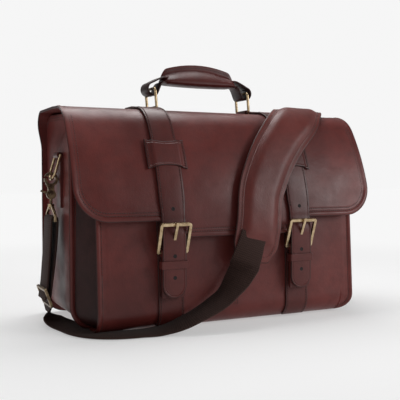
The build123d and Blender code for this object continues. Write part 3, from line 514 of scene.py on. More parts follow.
brass = worn_brass("satin brass", (0.56, 0.43, 0.27), (0.36, 0.26, 0.15), 0.30)
dark_brass = worn_brass("aged brass", (0.34, 0.25, 0.15), (0.09, 0.06, 0.04), 0.38)
thread = plain("waxed thread", (0.026, 0.010, 0.008), 0.6, sheen=0.1)
# Near-black colour of the hole dishes: painted shade inside the holes through the straps.
hole_shade_black = plain("punched hole painted shade", (0.008, 0.005, 0.005), 0.9)
webbing = woven("woven webbing", (0.010, 0.0050, 0.0040), (0.050, 0.0230, 0.0175), 60, 90)
lining = woven("twill lining", (0.055, 0.032, 0.022), (0.115, 0.070, 0.048), 3600, 3600, "Object", 0.0003)
print("metals, thread and cloth ready")

# %% [markdown]
# Stitching repeats along every seam, so Geometry Nodes lay it. The tree takes thin lines,
# resamples them at the stitch pitch and puts one small rounded stitch on each point, turned along
# the line. The same tree serves every row of the bag, with its pitch and its length as inputs.

# %% A tree that sews
def sewing_tree():
    tree = bpy.data.node_groups.new("Rows of stitches", "GeometryNodeTree")
    ports = tree.interface
    ports.new_socket("Seam lines", in_out="INPUT", socket_type="NodeSocketGeometry")
    for name, value in (("Pitch", 0.0034), ("Stitch length", 0.0026), ("Thread thickness", 0.0008)):
        ports.new_socket(name, in_out="INPUT", socket_type="NodeSocketFloat").default_value = value
    ports.new_socket("Thread", in_out="INPUT", socket_type="NodeSocketMaterial")
    ports.new_socket("Sewn", in_out="OUTPUT", socket_type="NodeSocketGeometry")
    nodes, links = tree.nodes, tree.links
    start, end = nodes.new("NodeGroupInput"), nodes.new("NodeGroupOutput")
    line = nodes.new("GeometryNodeMeshToCurve")
    even = nodes.new("GeometryNodeResampleCurve")
    even.mode = "LENGTH"
    ball = nodes.new("GeometryNodeMeshUVSphere")
    ball.inputs["Segments"].default_value = 6
    ball.inputs["Rings"].default_value = 4
    ball.inputs["Radius"].default_value = 0.5
    size = nodes.new("ShaderNodeCombineXYZ")
    lay = nodes.new("GeometryNodeInstanceOnPoints")
    along = nodes.new("GeometryNodeInputTangent")
    turn = nodes.new("FunctionNodeAlignRotationToVector")
    turn.axis = "Z"
    real = nodes.new("GeometryNodeRealizeInstances")
    smooth = nodes.new("GeometryNodeSetShadeSmooth")
    paint = nodes.new("GeometryNodeSetMaterial")
    links.new(start.outputs["Seam lines"], line.inputs["Mesh"])
    links.new(line.outputs["Curve"], even.inputs["Curve"])
    links.new(start.outputs["Pitch"], even.inputs["Length"])
    links.new(even.outputs["Curve"], lay.inputs["Points"])
    links.new(ball.outputs["Mesh"], lay.inputs["Instance"])
    links.new(start.outputs["Thread thickness"], size.inputs["X"])
    links.new(start.outputs["Thread thickness"], size.inputs["Y"])
    links.new(start.outputs["Stitch length"], size.inputs["Z"])
    links.new(size.outputs["Vector"], lay.inputs["Scale"])
    links.new(along.outputs["Tangent"], turn.inputs["Vector"])
    links.new(turn.outputs["Rotation"], lay.inputs["Rotation"])
    links.new(lay.outputs["Instances"], real.inputs["Geometry"])
    links.new(real.outputs["Geometry"], smooth.inputs["Geometry"])
    links.new(smooth.outputs["Geometry"], paint.inputs["Geometry"])
    links.new(start.outputs["Thread"], paint.inputs["Material"])
    links.new(paint.outputs["Geometry"], end.inputs["Sewn"])
    return tree


sewing = sewing_tree()
seams = {}


def sew(group, points):
    """Keeps a seam line for later; all lines of one group become one mesh."""
    seams.setdefault(group, []).append([tuple(p) for p in points])


def sewn_mesh(name, lines, pitch=3.4, length=2.6, thick=0.8):
    verts, edges = [], []
    for points in lines:
        first = len(verts)
        verts += [tuple(c / 1000 for c in p) for p in points]
        edges += [(first + k, first + k + 1) for k in range(len(points) - 1)]
    mesh = bpy.data.meshes.new(name)
    mesh.from_pydata(verts, edges, [])
    piece = bpy.data.objects.new(name, mesh)
    bpy.context.scene.collection.objects.link(piece)
    mod = piece.modifiers.new("sew", "NODES")
    mod.node_group = sewing
    values = {
        "Pitch": pitch / 1000, "Stitch length": length / 1000, "Thread thickness": thick / 1000,
        "Thread": thread,
    }
    for item in sewing.interface.items_tree:
        if item.in_out == "INPUT" and item.name in values:
            mod[item.identifier] = values[item.name]
    return settle(piece)


print("sewing tree has", len(sewing.nodes), "nodes")

# %% [markdown]
# The back, the top and the flap of a bag like this are one long piece of leather. It is made as
# one skin that follows the line over the top, with the flap's shaped lower edge and round
# corners as the ends of its columns.
# Two stitch lines run round the flap and one round the back.

# %% Back, top and flap
flap_half, back_half, flap_corner, back_corner = 215.0, 210.0, 43.0, 32.0


def flap_low(x):
    """Height of the flap's lower edge: lower between the straps, with a soft step under each."""
    return 115.0 + 21.0 * ease((abs(x) - 70.0) / 42.0)


def flap_end(x):
    inset = abs(x) - (flap_half - flap_corner)
    if inset <= 0:
        return flap_low(x)
    return flap_low(x) + flap_corner - sqrt(max(0.0, flap_corner**2 - inset**2))


def back_end(x):
    inset = abs(x) * back_half / flap_half - (back_half - back_corner)
    return 0.0 if inset <= 0 else back_corner - sqrt(max(0.0, back_corner**2 - inset**2))


def half_at(s):
    """Half width of the leather; the back is a little narrower than the flap."""
    return back_half + (flap_half - back_half) * ease((s - back_s(225)) / (back_s(262) - back_s(225)))


def spread(half, corner, middle):
    """X places of columns, closer together round the corners."""
    flat = half - corner
    inner = [-flat + 2 * flat * k / middle for k in range(middle + 1)]
    outer = [flat + corner * sin(pi / 2 * k / 12) for k in range(1, 13)]
    return [-x for x in reversed(outer)] + inner + outer


def welt(distance, high=0.8, deep=0.45):
    """The turned edge: a low roll, then the dip that the stitches pull."""
    roll = high * sin(pi * min(max(distance, 0.0), 6.4) / 6.4)
    dip = sum(2.718 ** -(((distance - at) / 1.0) ** 2) for at in (7.0, 10.5))
    return roll - deep * dip


def hide_wave(x, s):
    """Slow unevenness of hanging leather, none at the seams."""
    calm = ease((flap_half - abs(x)) / 40)
    return calm * (0.8 * sin(x / 47 + s / 60) + 0.6 * sin(x / 23 - s / 41))


def top_edge(x, s):
    z = over_top(s)[1]
    side = flap_half - abs(x)
    if s > shoulder_len and abs(x) > flap_half - flap_corner and z < flap_low(x) + flap_corner:
        return flap_corner - hypot(abs(x) - flap_half + flap_corner, flap_low(x) + flap_corner - z)
    if s > 0:
        return min(side, flap_s(flap_low(x)) - s)
    if abs(x) > back_half - back_corner and z < back_corner:
        return back_corner - hypot(abs(x) * back_half / flap_half - back_half + back_corner, back_corner - z)
    return min(side, s - back_s(0))


def top_place(x, s):
    y, z, ny, nz = over_top(s)
    sag = 0.0
    if -flat_len < s < 0:
        sag = 1.2 * sin(pi * -s / flat_len) * cos(pi * x / 430)
    wave = hide_wave(x, s) * ease(s / 60) - sag
    puff = welt(top_edge(x, s)) - 0.8 if s > 0 else -0.8 * ease((s + 20) / 20)
    x = x * half_at(s) / flap_half
    return x, y + ny * (wave + puff), z + nz * (wave + puff)


columns = [(x, back_s(back_end(x)), flap_s(flap_end(x))) for x in spread(flap_half, flap_corner, 56)]
top_leather = skin(
    "top_leather", columns, 190, top_place, top_edge, body_leather, 3.0, (0, -1, 0), 0.9, crowd=0.75
)
print("top leather", len(top_leather.data.polygons), "faces")


def on_top(x, s, lift=0.35):
    """A thread's place: on the leather's own surface, a little proud."""
    _, _, ny, nz = over_top(s)
    px, py, pz = top_place(x, s)
    return px, py + ny * lift, pz + nz * lift


def flap_line(inset):
    """Points of a seam line round the flap, an inset from its edge."""
    half, corner = flap_half - inset, flap_corner - inset
    flat = []
    top = flap_s(266)
    low = flap_s(136 + flap_corner)
    for k in range(40):
        flat.append((-half, over_s_z(top + (low - top) * k / 40)))
    for k in range(13):
        a = pi / 2 * k / 12
        flat.append((-(flap_half - flap_corner) - corner * cos(a), 136 + flap_corner - corner * sin(a)))
    for k in range(1, 100):
        x = -(flap_half - flap_corner) + (flap_half - flap_corner) * k / 100
        flat.append((x, flap_low(x) + inset))
    flat += [(-x, z) for x, z in reversed(flat)]
    return [on_top(x, flap_s(z) if z < turn_z else flap_s_high(z)) for x, z in flat]


def over_s_z(s):
    return over_top(s)[1]


def flap_s_high(z):
    return shoulder_r * acos(1 - (top_z - z) / shoulder_r)


for inset in (7.0, 10.5):
    sew("top", flap_line(inset))
for side in (-1, 1):
    for inset in (7.0, 10.5):
        sew("top", [on_top(side * (flap_half - inset), s) for s in range(-82, 22, 3)])
back_seam = 6.0
turn = back_corner - back_seam
back_line = []
for k in range(60):
    back_line.append((back_seam - back_half, 250 - (250 - back_corner) * k / 60))
for k in range(13):
    a = pi / 2 * k / 12
    back_line.append((back_corner - back_half - turn * cos(a), back_corner - turn * sin(a)))
back_line += [(-x, z) for x, z in reversed(back_line)]
sew("top", [(x, back_y + 0.15, z) for x, z in back_line])

# %% [markdown]
# Behind the flap stands the divider, a stiff panel with its seam turned outwards: the proud ridge
# that runs down each side of the bag. In front of it is the front panel, which leans back, turns
# under at its foot and carries the same kind of ridge. Both are skins with a stitch line set in
# from the edge.

# %% Divider and front panel
front_half, front_top, toe_r, lean = 187.0, 185.0, 26.0, radians(3.7)
toe_y = -90.0 + toe_r * cos(lean)
divider_front = -48.0
divider_half, divider_top, divider_corner = 209.0, 250.0, 32.0
seam_in = 7.0


def corner_low(x, half, corner):
    inset = abs(x) - (half - corner)
    return 0.0 if inset <= 0 else corner - sqrt(max(0.0, corner**2 - inset**2))


def panel_edge(half, top, corner):
    def distance(x, z):
        if abs(x) > half - corner and z < corner:
            return corner - hypot(abs(x) - half + corner, corner - z)
        return min(half - abs(x), top - z, z)

    return distance


divider_edge = panel_edge(divider_half, divider_top, divider_corner)


def divider_place(x, z):
    return x, divider_front - welt(divider_edge(x, z), 1.7, 0.5), z


divider = skin(
    "divider_leather",
    [
        (x, corner_low(x, divider_half, divider_corner), divider_top)
        for x in spread(divider_half, divider_corner, 30)
    ],
    70,
    divider_place,
    divider_edge,
    body_leather,
    4.0,
    (0, -1, 0),
    round_off=1.1,
)
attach(divider, "root")
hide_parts("divider_panel")


under_len = abs(toe_y - divider_front)
arc_len = toe_r * (pi / 2 + lean)


def front_line(t):
    """Y and Z up the front panel, t from its foot: under, round the toe, then up the face."""
    if t < under_len:
        return divider_front - t, 0.0, 0.0, -1.0
    if t < under_len + arc_len:
        a = (t - under_len) / toe_r
        ny, nz = -sin(a), -cos(a)
        return toe_y + toe_r * ny, toe_r + toe_r * nz, ny, nz
    a = pi / 2 + lean
    ny, nz = -sin(a), -cos(a)
    rise = t - under_len - arc_len
    y = toe_y + toe_r * ny + rise * sin(lean)
    z = toe_r + toe_r * nz + rise * cos(lean)
    return y, z, ny, nz


def front_t(z):
    """Length up the front panel where it is at a height."""
    z_arc = toe_r - toe_r * cos(pi / 2 + lean)
    if z < z_arc:
        return under_len + toe_r * acos(max(-1.0, min(1.0, 1 - z / toe_r)))
    return under_len + arc_len + (z - z_arc) / cos(lean)


front_len, front_corner, soft_corner = front_t(front_top), 8.0, 22.0


def front_edge(x, t):
    """Distance to the turned edge: under the toe at the left, round a softer corner at the right."""
    z = front_line(t)[1]
    inner = front_half - soft_corner
    if x > inner and z < soft_corner:
        return soft_corner - hypot(x - inner, soft_corner - z)
    return min(front_half - abs(x), front_len - t)


def front_start(x):
    if x > front_half - soft_corner:
        return front_t(corner_low(x, front_half, soft_corner))
    return corner_low(x, front_half, front_corner)


def front_place(x, t):
    y, z, ny, nz = front_line(t)
    belly = 2.2 * sin(pi * min(1, max(0, (z - 10) / 160))) * cos(pi * x / 400) * ease((t - under_len) / 30)
    ridge = welt(front_edge(x, t), 1.7, 0.5) * ease((t - under_len) / 24)
    crumple = 0.35 * sin(x / 19 + z / 33) * ease((front_half - abs(x)) / 30) * ease(z / 30)
    out = belly + ridge + crumple - 2.4 * ease(z / 40) * cos(pi * x / 400)
    return x, y + ny * out, z + nz * out


front_columns = [(x, front_start(x), front_len) for x in spread(front_half, soft_corner, 50)]
front_leather = skin(
    "front_leather", front_columns, 80, front_place, front_edge, body_leather, 3.0, (0, -1, 0), round_off=0.9
)
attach(front_leather, "root")
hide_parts("front_panel")


def panel_line(half, top, corner, inset):
    line = []
    for k in range(41):
        line.append((-(half - inset), top - inset - (top - inset - corner) * k / 40))
    for k in range(1, 13):
        a = pi / 2 * k / 12
        line.append((-(half - corner) - (corner - inset) * cos(a), corner - (corner - inset) * sin(a)))
    return line + [(-x, z) for x, z in reversed(line)]


def front_lift(x, t, lift=0.3):
    px, py, pz = front_place(x, t)
    _, _, ny, nz = front_line(t)
    return px, py + ny * lift, pz + nz * lift


sew("root", [front_lift(seam_in - front_half, front_len - 6.5 - k * 3) for k in range(65)])
right_seam = [front_lift(front_half - seam_in, front_t(z)) for z in range(178, 22, -3)]
for k in range(9):
    a = pi / 2 * k / 8
    x = front_half - soft_corner + (soft_corner - seam_in) * cos(a)
    right_seam.append(front_lift(x, front_t(soft_corner - (soft_corner - seam_in) * sin(a))))
sew("root", right_seam)
sew("root", [front_lift(x, front_len - 6.5) for x in range(-180, 181, 6)])
divider_seam = panel_line(divider_half, divider_top, divider_corner, seam_in)
sew("root", [(x, divider_front, z) for x, z in divider_seam])
for x in (-1.6, 1.6):
    sew("root", [front_lift(x, front_t(z)) for z in range(26, 122, 4)])
print("front panel", len(front_leather.data.polygons), "faces")

# %% [markdown]
# Gussets are the soft side walls. The main gusset swells a little and folds in at its top, where
# nothing holds it out. The front gusset is a bellows: it folds inwards in a V between the two
# ridges, deepest at its top. The depth of each fold is a function over the skin.

# %% Gussets
def gusset_top(y):
    """Height of the main gusset's upper edge, close under the flap, the top and the crown."""
    if y > back_y - crown:
        return top_z - crown + sqrt(max(0.0, 14.0**2 - (y - back_y + crown) ** 2)) - 1.0
    if y > bend_y:
        return top_z - 5.5
    return top_z - shoulder_r + sqrt((shoulder_r - 5.5) ** 2 - (y - bend_y) ** 2)


def main_gusset_place(side):
    def place(y, z):
        p = (y + 44) / 131
        fold = 11.0 * ease((z - 222) / 40) * (1 - abs(2 * p - 1)) ** 0.9
        swell = 2.4 * sin(pi * p) * sin(pi * min(1, max(0, (z - 10) / 215)))
        swell *= 0.35 + 0.65 * abs(2 * p - 1) ** 0.6
        crumple = 0.7 * sin(z / 17 + y / 11) * sin(pi * p) * ease((z - 20) / 60)
        turn = 25.0
        out = swell - fold + crumple
        if z < 7 + turn:
            a = asin(max(0.0, min(1.0, (7 + turn - z) / turn)))
            return side * (178 + (turn + out) * cos(a)), y, 7 + turn - (turn + out * 0.3) * sin(a)
        return side * (203 + out), y, z

    return place


for side, name in ((-1, "left"), (1, "right")):
    place = main_gusset_place(side)
    cols = [(y, 7.0, gusset_top(y)) for y in [-44 + 130.8 * k / 48 for k in range(49)]]
    gusset = skin(
        f"main_gusset_leather_{name}",
        cols,
        84,
        place,
        lambda y, z: min(gusset_top(y) - z, 40.0),
        body_leather,
        2.4,
        (side, 0, 0),
        round_off=0.6,
    )
    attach(gusset, "root")
    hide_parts(f"main_gusset_{name}")
    for inset in (5.0, 8.0):
        line = [place(-42 + 126 * k / 60, gusset_top(-42 + 126 * k / 60) - inset) for k in range(61)]
        sew("root", [(x + side * 0.2, y, z) for x, y, z in line])

    def fold_place(p, z, side=side):
        """A point of the bellows: p runs from the front panel to the divider."""
        z_share = z / 180
        y0 = front_line(front_t(max(z, 6.0)))[0] + 4.0
        x0, x1 = 180.5, 202.5
        low = 25.0
        if z < low + 4:
            drop = (low + 4 - z) / low
            pull = low * (1 - sqrt(max(0.0, 1 - min(1.0, drop) ** 2)))
            x0, x1 = x0 - pull, x1 - pull
        x = x0 + (x1 - x0) * p
        y = y0 + (-47.0 - y0) * p
        crease = p / 0.42 if p < 0.42 else (1 - p) / 0.58
        depth = (12 + 20 * ease(z_share)) * crease**0.9
        depth *= ease((z - 2) / 24)
        return side * (x - depth), y, z

    cols = [(k / 26, 5.0, 179.0) for k in range(27)]
    fold = skin(
        f"front_gusset_leather_{name}",
        cols,
        60,
        fold_place,
        lambda p, z: min(179 - z, 20.0),
        # near-black leather here is painted shade of the recess
        recess_shade_leather,
        2.2,
        (side, 0, 0),
        round_off=0.5,
    )
    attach(fold, "root")
    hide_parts(f"front_gusset_{name}")
    sew("root", [Vector(fold_place(k / 24, 174)) + Vector((side * 0.3, 0, 0)) for k in range(25)])
print("gussets done")

# %% [markdown]
# Each strap starts low on the back, runs over the top and is sewn down on the flap; then it hangs
# free as a tail with a rounded tip. It is made in two lengths that meet under the sewn patch.

# %% Straps
strip_half, strip_foot, strip_top, strip_lift = 17.0, 15.0, 176.0, 2.5


def strap_columns(half, count=14):
    return [half * sin(pi / 2 * (2 * k / count - 1)) for k in range(count + 1)]


tail_start = flap_s(141.5)
tail_len = 141.5 - 41.0


def strap_line(s, lift):
    """The strap's own line: the bag's line, then straight down below the flap's edge."""
    if s <= tail_start:
        return over_top(s, lift)
    y, z, ny, nz = over_top(tail_start, lift)
    t = s - tail_start
    turned = ease(t / 45)
    drop = -98.57 - 0.4 * turned - lift
    return y + (drop - y) * ease(t / 26), z - t, ny + (-1 - ny) * turned, nz * (1 - turned)


def strap_half(s):
    return 17.0 - 1.5 * ease((s - flap_s(165)) / 25)


for side, name in ((-1, "left"), (1, "right")):
    cx = side * strap_x

    def over_place(d, s, cx=cx):
        y, z, ny, nz = over_top(s, 3.0 - 0.7 * (abs(d) / 17) ** 4)
        return cx + d, y, z

    upper = skin(
        f"strap_over_{name}",
        [(d, back_s(205), flap_s(217)) for d in strap_columns(17)],
        120,
        over_place,
        lambda d, s: min(17 - abs(d), s - back_s(205)),
        strap_leather,
        2.7,
        (0, -1, 0),
        round_off=0.5,
    )
    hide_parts(f"rear_strap_{name}", f"flap_strap_{name}")
    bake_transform(upper)
    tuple(hinge_start)
    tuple(hinge_end)

    tip_s = tail_start + tail_len

    def tail_place(d, s, cx=cx):
        half = strap_half(s)
        y, z, ny, nz = strap_line(s, 3.0 - 0.7 * (abs(d) / 15.5) ** 4)
        return cx + d * half / 15.5, y, z

    def tail_edge(d, s, tip_s=tip_s):
        if s > tip_s - 15.5:
            return 15.5 - hypot(d, s - (tip_s - 15.5))
        return (15.5 - abs(d)) * strap_half(s) / 15.5

    lower = skin(
        f"strap_tail_leather_{name}",
        [(d, flap_s(221), tip_s - 15.5 + sqrt(max(0.0, 15.5**2 - d * d))) for d in strap_columns(15.5, 18)],
        90,
        tail_place,
        tail_edge,
        strap_leather,
        2.7,
        (0, -1, 0),
        round_off=0.5,
    )
    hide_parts(f"strap_tail_{name}")
    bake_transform(lower)

    for edge in (-14.2, 14.2):
        sew("top", [(cx + edge, *over_top(s, 2.95)[:2]) for s in range(int(back_s(208)), int(flap_s(235)), 3)])
    sew("top", [(cx + d, *over_top(back_s(208), 3.0)[:2]) for d in range(-14, 15, 2)])
    for edge in (-14.0, 14.0):
        sew("flap", [(cx + edge, *over_top(s, 2.95)[:2]) for s in range(int(flap_s(200)), int(flap_s(150)), 3)])

    def patch_place(d, share, cx=cx):
        hollow = 4.0 * (1 - (d / 26.5) ** 2)
        z0, z1 = 236 - hollow, 199 + hollow
        s = flap_s(z0 + (z1 - z0) * share)
        rise = 3.1 * ease((21.5 - abs(d)) / 4.5)
        y, z, ny, nz = over_top(s, 2.0 + rise)
        return cx + d, y, z

    patch = skin(
        f"patch_leather_{name}",
        [(26.5 * (k / 16 - 1), 0.0, 1.0) for k in range(33)],
        18,
        patch_place,
        lambda d, share: min(26.5 - abs(d), 30 * share, 30 * (1 - share)),
        strap_leather,
        1.9,
        (0, -1, 0),
        round_off=0.5,
    )
    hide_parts(f"strap_patch_{name}")
    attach(patch, "flap")
    for d in (-24.0, 24.0):
        line = [Vector(patch_place(d, 0.1 + 0.8 * k / 12)) + Vector((0, -0.15, 0)) for k in range(13)]
        sew("flap", line)

    def strip_place(d, t, cx=cx):
        return front_lift(cx + d, t, strip_lift)

    strip = skin(
        f"strip_leather_{name}",
        [(d, under_len + strip_foot, front_t(strip_top)) for d in strap_columns(strip_half)],
        50,
        strip_place,
        lambda d, t: strip_half - abs(d),
        strap_leather,
        2.4,
        (0, -1, 0),
        round_off=0.5,
    )
    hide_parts(f"front_strip_{name}")
    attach(strip, "root")
    for edge in (-14.2, 14.2):
        line = [Vector(strip_place(edge, under_len + strip_foot + 3 + 130 * k / 50)) for k in range(51)]
        sew("root", [p + Vector((0, -0.1, 0)) for p in line])
print("straps done")

# %% [markdown]
# Small stitched leathers and all the brass keep the CAD's exact shape, because other pieces run
# through them with little room. A copy of each is welded and its edges are rounded, as filing and
# burnishing leave them.

# %% Fittings
leather_bits = {
    "buckle_chape": "tail", "strap_keeper": "tail", "ring_tab": "root", "side_tab": "root",
}
brass_bits = {
    "buckle_frame": ("buckle", 0.9), "buckle_prong": ("prong", 0.5), "clasp_tongue": ("tail", 0.4),
    "clasp_seat": ("root", 0.4), "snap_hook": ("hook", 0.7), "hook_gate": ("gate", 0.4),
    "swivel_eye": ("root", 0.7),
}
for name in ("left", "right"):
    for node, body in leather_bits.items():
        on = body if body == "root" else f"{body}_{name}"
        rounded_copy(f"{node}_{name}", on, strap_leather, 0.5)
    for node, (body, radius) in brass_bits.items():
        on = body if body == "root" else f"{body}_{name}"
        metal = dark_brass if node in ("snap_hook", "hook_gate") else brass
        rounded_copy(f"{node}_{name}", on, metal, radius)
    for node, body in (("handle_ring", "ring"), ("side_dring", "dring")):
        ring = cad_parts[f"{node}_{name}"]
        ring.data.materials.clear()
        ring.data.materials.append(brass)
rounded_copy("strap_slider", "root", dark_brass, 0.6)
rounded_copy("main_gusset_base", "root", body_leather, 0.5)
rounded_copy("base_board", "root", lining, 0.6)
for node in ("laptop_sleeve", "inner_pocket", "organizer_pocket"):
    rounded_copy(node, "root", lining, 0.9)
rounded_copy("pen_loops", "root", lining, 0.3)
print("fittings done")

# %% [markdown]
# The handle is a padded roll with its seam standing up along the top as a fin. Its section is a
# soft teardrop that changes along its length, and the leather loops at its ends are flat bands
# that come out of the roll, turn round the brass rings and go back in.

# %% Handle
grip_mid, grip_half, ring_y = -2.484, 57.0, 22.5
grip_crest, grip_rise, ring_x = 329.0, 10.0, 72.0


def grip_section(share):
    """Half outline of the grip at a share of its length, as (y, z) points, closed."""
    end = 1 - abs(2 * share - 1)
    full = ease(min(1.0, end * 7)) ** 0.5 if end < 1 / 7 else 1.0
    arch = 1 - (2 * share - 1) ** 2
    low = 317.0 - 1.5 * arch
    crest = grip_crest + grip_rise * arch
    fin = crest + 8.6
    mid = (low + 322.5) / 2 + 1.0
    w = 16.6 * (0.62 + 0.38 * full)
    half = []
    for k in range(9):
        a = radians(-90 + 90 * k / 8)
        half.append((w * cos(a) ** 0.75 if k else 0.0, mid + (mid - low) * sin(a)))
    for k in range(1, 9):
        q = k / 8
        y = 2.2 + (w - 2.2) * (1 - q**1.7)
        half.append((y, mid + (crest - mid) * q))
    half.append((1.9, crest + 1.0))
    half.append((1.9, fin - 0.6))
    half.append((1.2, fin))
    shrink = 0.30 + 0.70 * full
    centre = 323.0
    out = [(y * (0.75 + 0.25 * full), centre + (z - centre) * shrink) for y, z in half]
    return out + [(-y, z) for y, z in reversed(out) if y > 1e-6]


steps = 46
verts, edge_values = [], []
for i in range(steps + 1):
    share = i / steps
    for y, z in grip_section(share):
        verts.append((grip_mid - grip_half + 2 * grip_half * share, ring_y + y, z))
        edge_values.append(6.0)
m = len(grip_section(0.5))
faces = [
    (i * m + j, (i + 1) * m + j, (i + 1) * m + (j + 1) % m, i * m + (j + 1) % m)
    for i in range(steps)
    for j in range(m)
]
faces.append(tuple(range(m)))
faces.append(tuple(reversed([steps * m + j for j in range(m)])))
grip = new_piece("handle_grip_leather", verts, faces, strap_leather, edge_values)
smooth = grip.modifiers.new("soft", "SUBSURF")
smooth.levels = smooth.render_levels = 1
settle(grip)
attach(grip, "handle")
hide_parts("handle_grip", "handle_fin")
for side_y in (-2.15, 2.15):
    line = []
    for k in range(49):
        share = 0.08 + 0.84 * k / 48
        arch = 1 - (2 * share - 1) ** 2
        x = grip_mid - grip_half + 2 * grip_half * share
        line.append((x, ring_y + side_y, grip_crest + grip_rise * arch + 4.2))
    sew("handle", line)

for side, name in ((-1, "left"), (1, "right")):
    top_x = side * ring_x + grip_mid
    root_x = grip_mid + side * (grip_half - 9)
    radius = 8.4
    line = [(root_x, 326.5), (root_x + side * 10, 326.0)]
    for k in range(15):
        a = radians(72 - 200 * k / 14)
        line.append((top_x + side * radius * cos(a), 309.99 + radius * sin(a)))
    line += [(root_x + side * 11, 318.6), (root_x, 318.6)]
    path = [Vector((p[0], ring_y, p[1])) for p in line]
    path = [Vector(p) for p in smooth_path(path, 1.8)]

    def loop_section(i, share):
        width = 27.5 - 5.0 * (1 - sin(pi * share)) ** 2
        return band_section(width, 2.3, 0.8)

    ups = []
    for i, p in enumerate(path):
        a, b = path[max(i - 1, 0)], path[min(i + 1, len(path) - 1)]
        tangent = (b - a).normalized()
        ups.append(tangent.cross(Vector((0, 1, 0))) * side)
    loop = sweep(
        f"handle_loop_leather_{name}", path, ups, loop_section, strap_leather,
        edge=lambda a, b: 13.0 - abs(a),
    )
    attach(loop, "handle")
    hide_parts(f"handle_loop_{name}")
print("handle done")

# %% [markdown]
# The shoulder strap is woven webbing. It leaves the left eye in a fold, passes the slider, lies
# on the floor round the front corner and climbs, twisting, to the foot of the pad; behind the
# pad it goes over the right edge and down to the right eye. Each length is a band swept along a
# smooth line, with the width direction given station by station.

# %% Webbing
def ribbon(name, stations, nodes_replaced, width=38.0, thick=2.4):
    """Stations hold a centre and a width direction."""
    rows = smooth_six(stations)
    path = [r[0] for r in rows]
    ups = []
    for i, (p, across) in enumerate(rows):
        a, b = path[max(i - 1, 0)], path[min(i + 1, len(path) - 1)]
        tangent = (b - a).normalized()
        ups.append(tangent.cross(across).normalized() * -1)
    piece = sweep(name, path, ups, lambda i, s: band_section(width, thick, 0.9), webbing, uv_width=width)
    if nodes_replaced:
        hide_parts(*nodes_replaced)
    return piece


def smooth_six(stations, step=3.0):
    centres = smooth_path([s[0] for s in stations], step)
    out = []
    pts = [Vector(s[0]) for s in stations]
    dirs = [Vector(s[1]).normalized() for s in stations]
    index = 0
    for i in range(len(pts) - 1):
        n = max(2, int((pts[i + 1] - pts[i]).length / step))
        for k in range(n):
            t = ease(k / n)
            out.append((Vector(centres[index]), dirs[i].lerp(dirs[i + 1], t).normalized()))
            index += 1
    out.append((Vector(centres[-1]), dirs[-1]))
    return out


front_route = [
    ((-223, 10, 38), (0, -1, 0)), ((-221, 9, 20), (0, -1, 0)), ((-216, 2, 8), (-0.75, -0.66, 0)),
    ((-208, -14, 3), (-0.95, -0.3, 0)), ((-201, -36, 1.6), (-1, -0.1, 0)), ((-197, -56, 1.6), (-0.98, -0.2, 0)),
    ((-187, -76, 1.6), (-0.75, -0.65, 0)), ((-168, -90, 1.6), (-0.4, -0.9, 0)),
    ((-140, -96, 1.6), (-0.1, -1, 0)), ((-108, -100, 3.6), (-0.1, -1, -0.05)),
    ((-73, -111, 17), (-0.18, -0.9, -0.18)), ((-31, -112, 39), (-0.05, -0.885, -0.27)),
    ((-6, -111, 67), (0.35, -0.75, -0.4)), ((4, -110, 86), (0.8, -0.2, -0.45)),
    ((12, -108.6, 106), (0.95, 0, -0.3)), ((16, -107.6, 116), (0.95, 0, -0.3)),
]
web_front = ribbon("webbing_front", front_route, ["strap_front"])
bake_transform(web_front)

left_fold = [
    ((-229, 10, 34), (0, 1, 0)), ((-226, 10, 54), (0, 1, 0)), ((-223.5, 10, 84), (0, 1, 0)),
    ((-221.5, 10, 112), (0, 1, 0)), ((-220.8, 10, 128), (0, 1, 0)), ((-220.6, 10, 134.5), (0, 1, 0)),
    ((-219.6, 10, 138.3), (0, 1, 0)), ((-216.7, 10, 139.6), (0, 1, 0)), ((-213.9, 10, 138.3), (0, 1, 0)),
    ((-212.8, 10, 134.5), (0, 1, 0)), ((-213.0, 10, 126), (0, 1, 0)), ((-214.5, 10, 104), (0, 1, 0)),
    ((-217.5, 10, 76), (0, 1, 0)), ((-220.5, 10, 54), (0, 1, 0)), ((-222.5, 10, 38), (0, 1, 0)),
]
web_left = ribbon("webbing_left_fold", left_fold, ["strap_end_left"])
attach(web_left, "root")

right_route = [
    ((187, 57, 281.0), (-0.8, 0.6, 0.0)), ((202, 68, 281.0), (-0.6, 0.8, 0.0)),
    ((214, 73, 281.0), (-0.3, 1.0, 0.0)), ((221, 75, 277), (0, 1, 0)), ((223, 75, 268), (0, 1, 0)),
    ((223, 74, 235), (0, 1, 0)), ((223, 66, 190), (0, 1, 0)), ((223, 52, 145), (0, 1, 0)),
    ((223, 33, 100), (0, 1, 0)), ((223, 18, 72), (0, 1, 0)), ((225, 11, 56), (0, 1, 0)),
    ((230, 10, 49), (0, 1, 0)), ((236, 10, 50), (0, 1, 0)), ((239, 10, 59), (0, 1, 0)),
    ((236, 10, 78), (0, 1, 0)), ((229, 10, 102), (0, 1, 0)), ((222.5, 10, 124), (0, 1, 0)),
    ((220.6, 10, 134.5), (0, 1, 0)), ((219.6, 10, 138.3), (0, 1, 0)), ((216.7, 10, 139.6), (0, 1, 0)),
    ((213.9, 10, 138.3), (0, 1, 0)), ((212.8, 10, 134.5), (0, 1, 0)), ((212.9, 10, 122), (0, 1, 0)),
    ((213.2, 10, 101), (0, 1, 0)),
]
web_right = ribbon("webbing_right", right_route, ["strap_right"])
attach(web_right, "root")
print("webbing done")

# %% [markdown]
# The shoulder pad is two leathers sewn together round a soft core. Its border is flat and
# stitched; the middle is stuffed. The outline is laid on the flap and over the top with a lift,
# the border is pinned, and a short cloth simulation with pressure fills the middle.

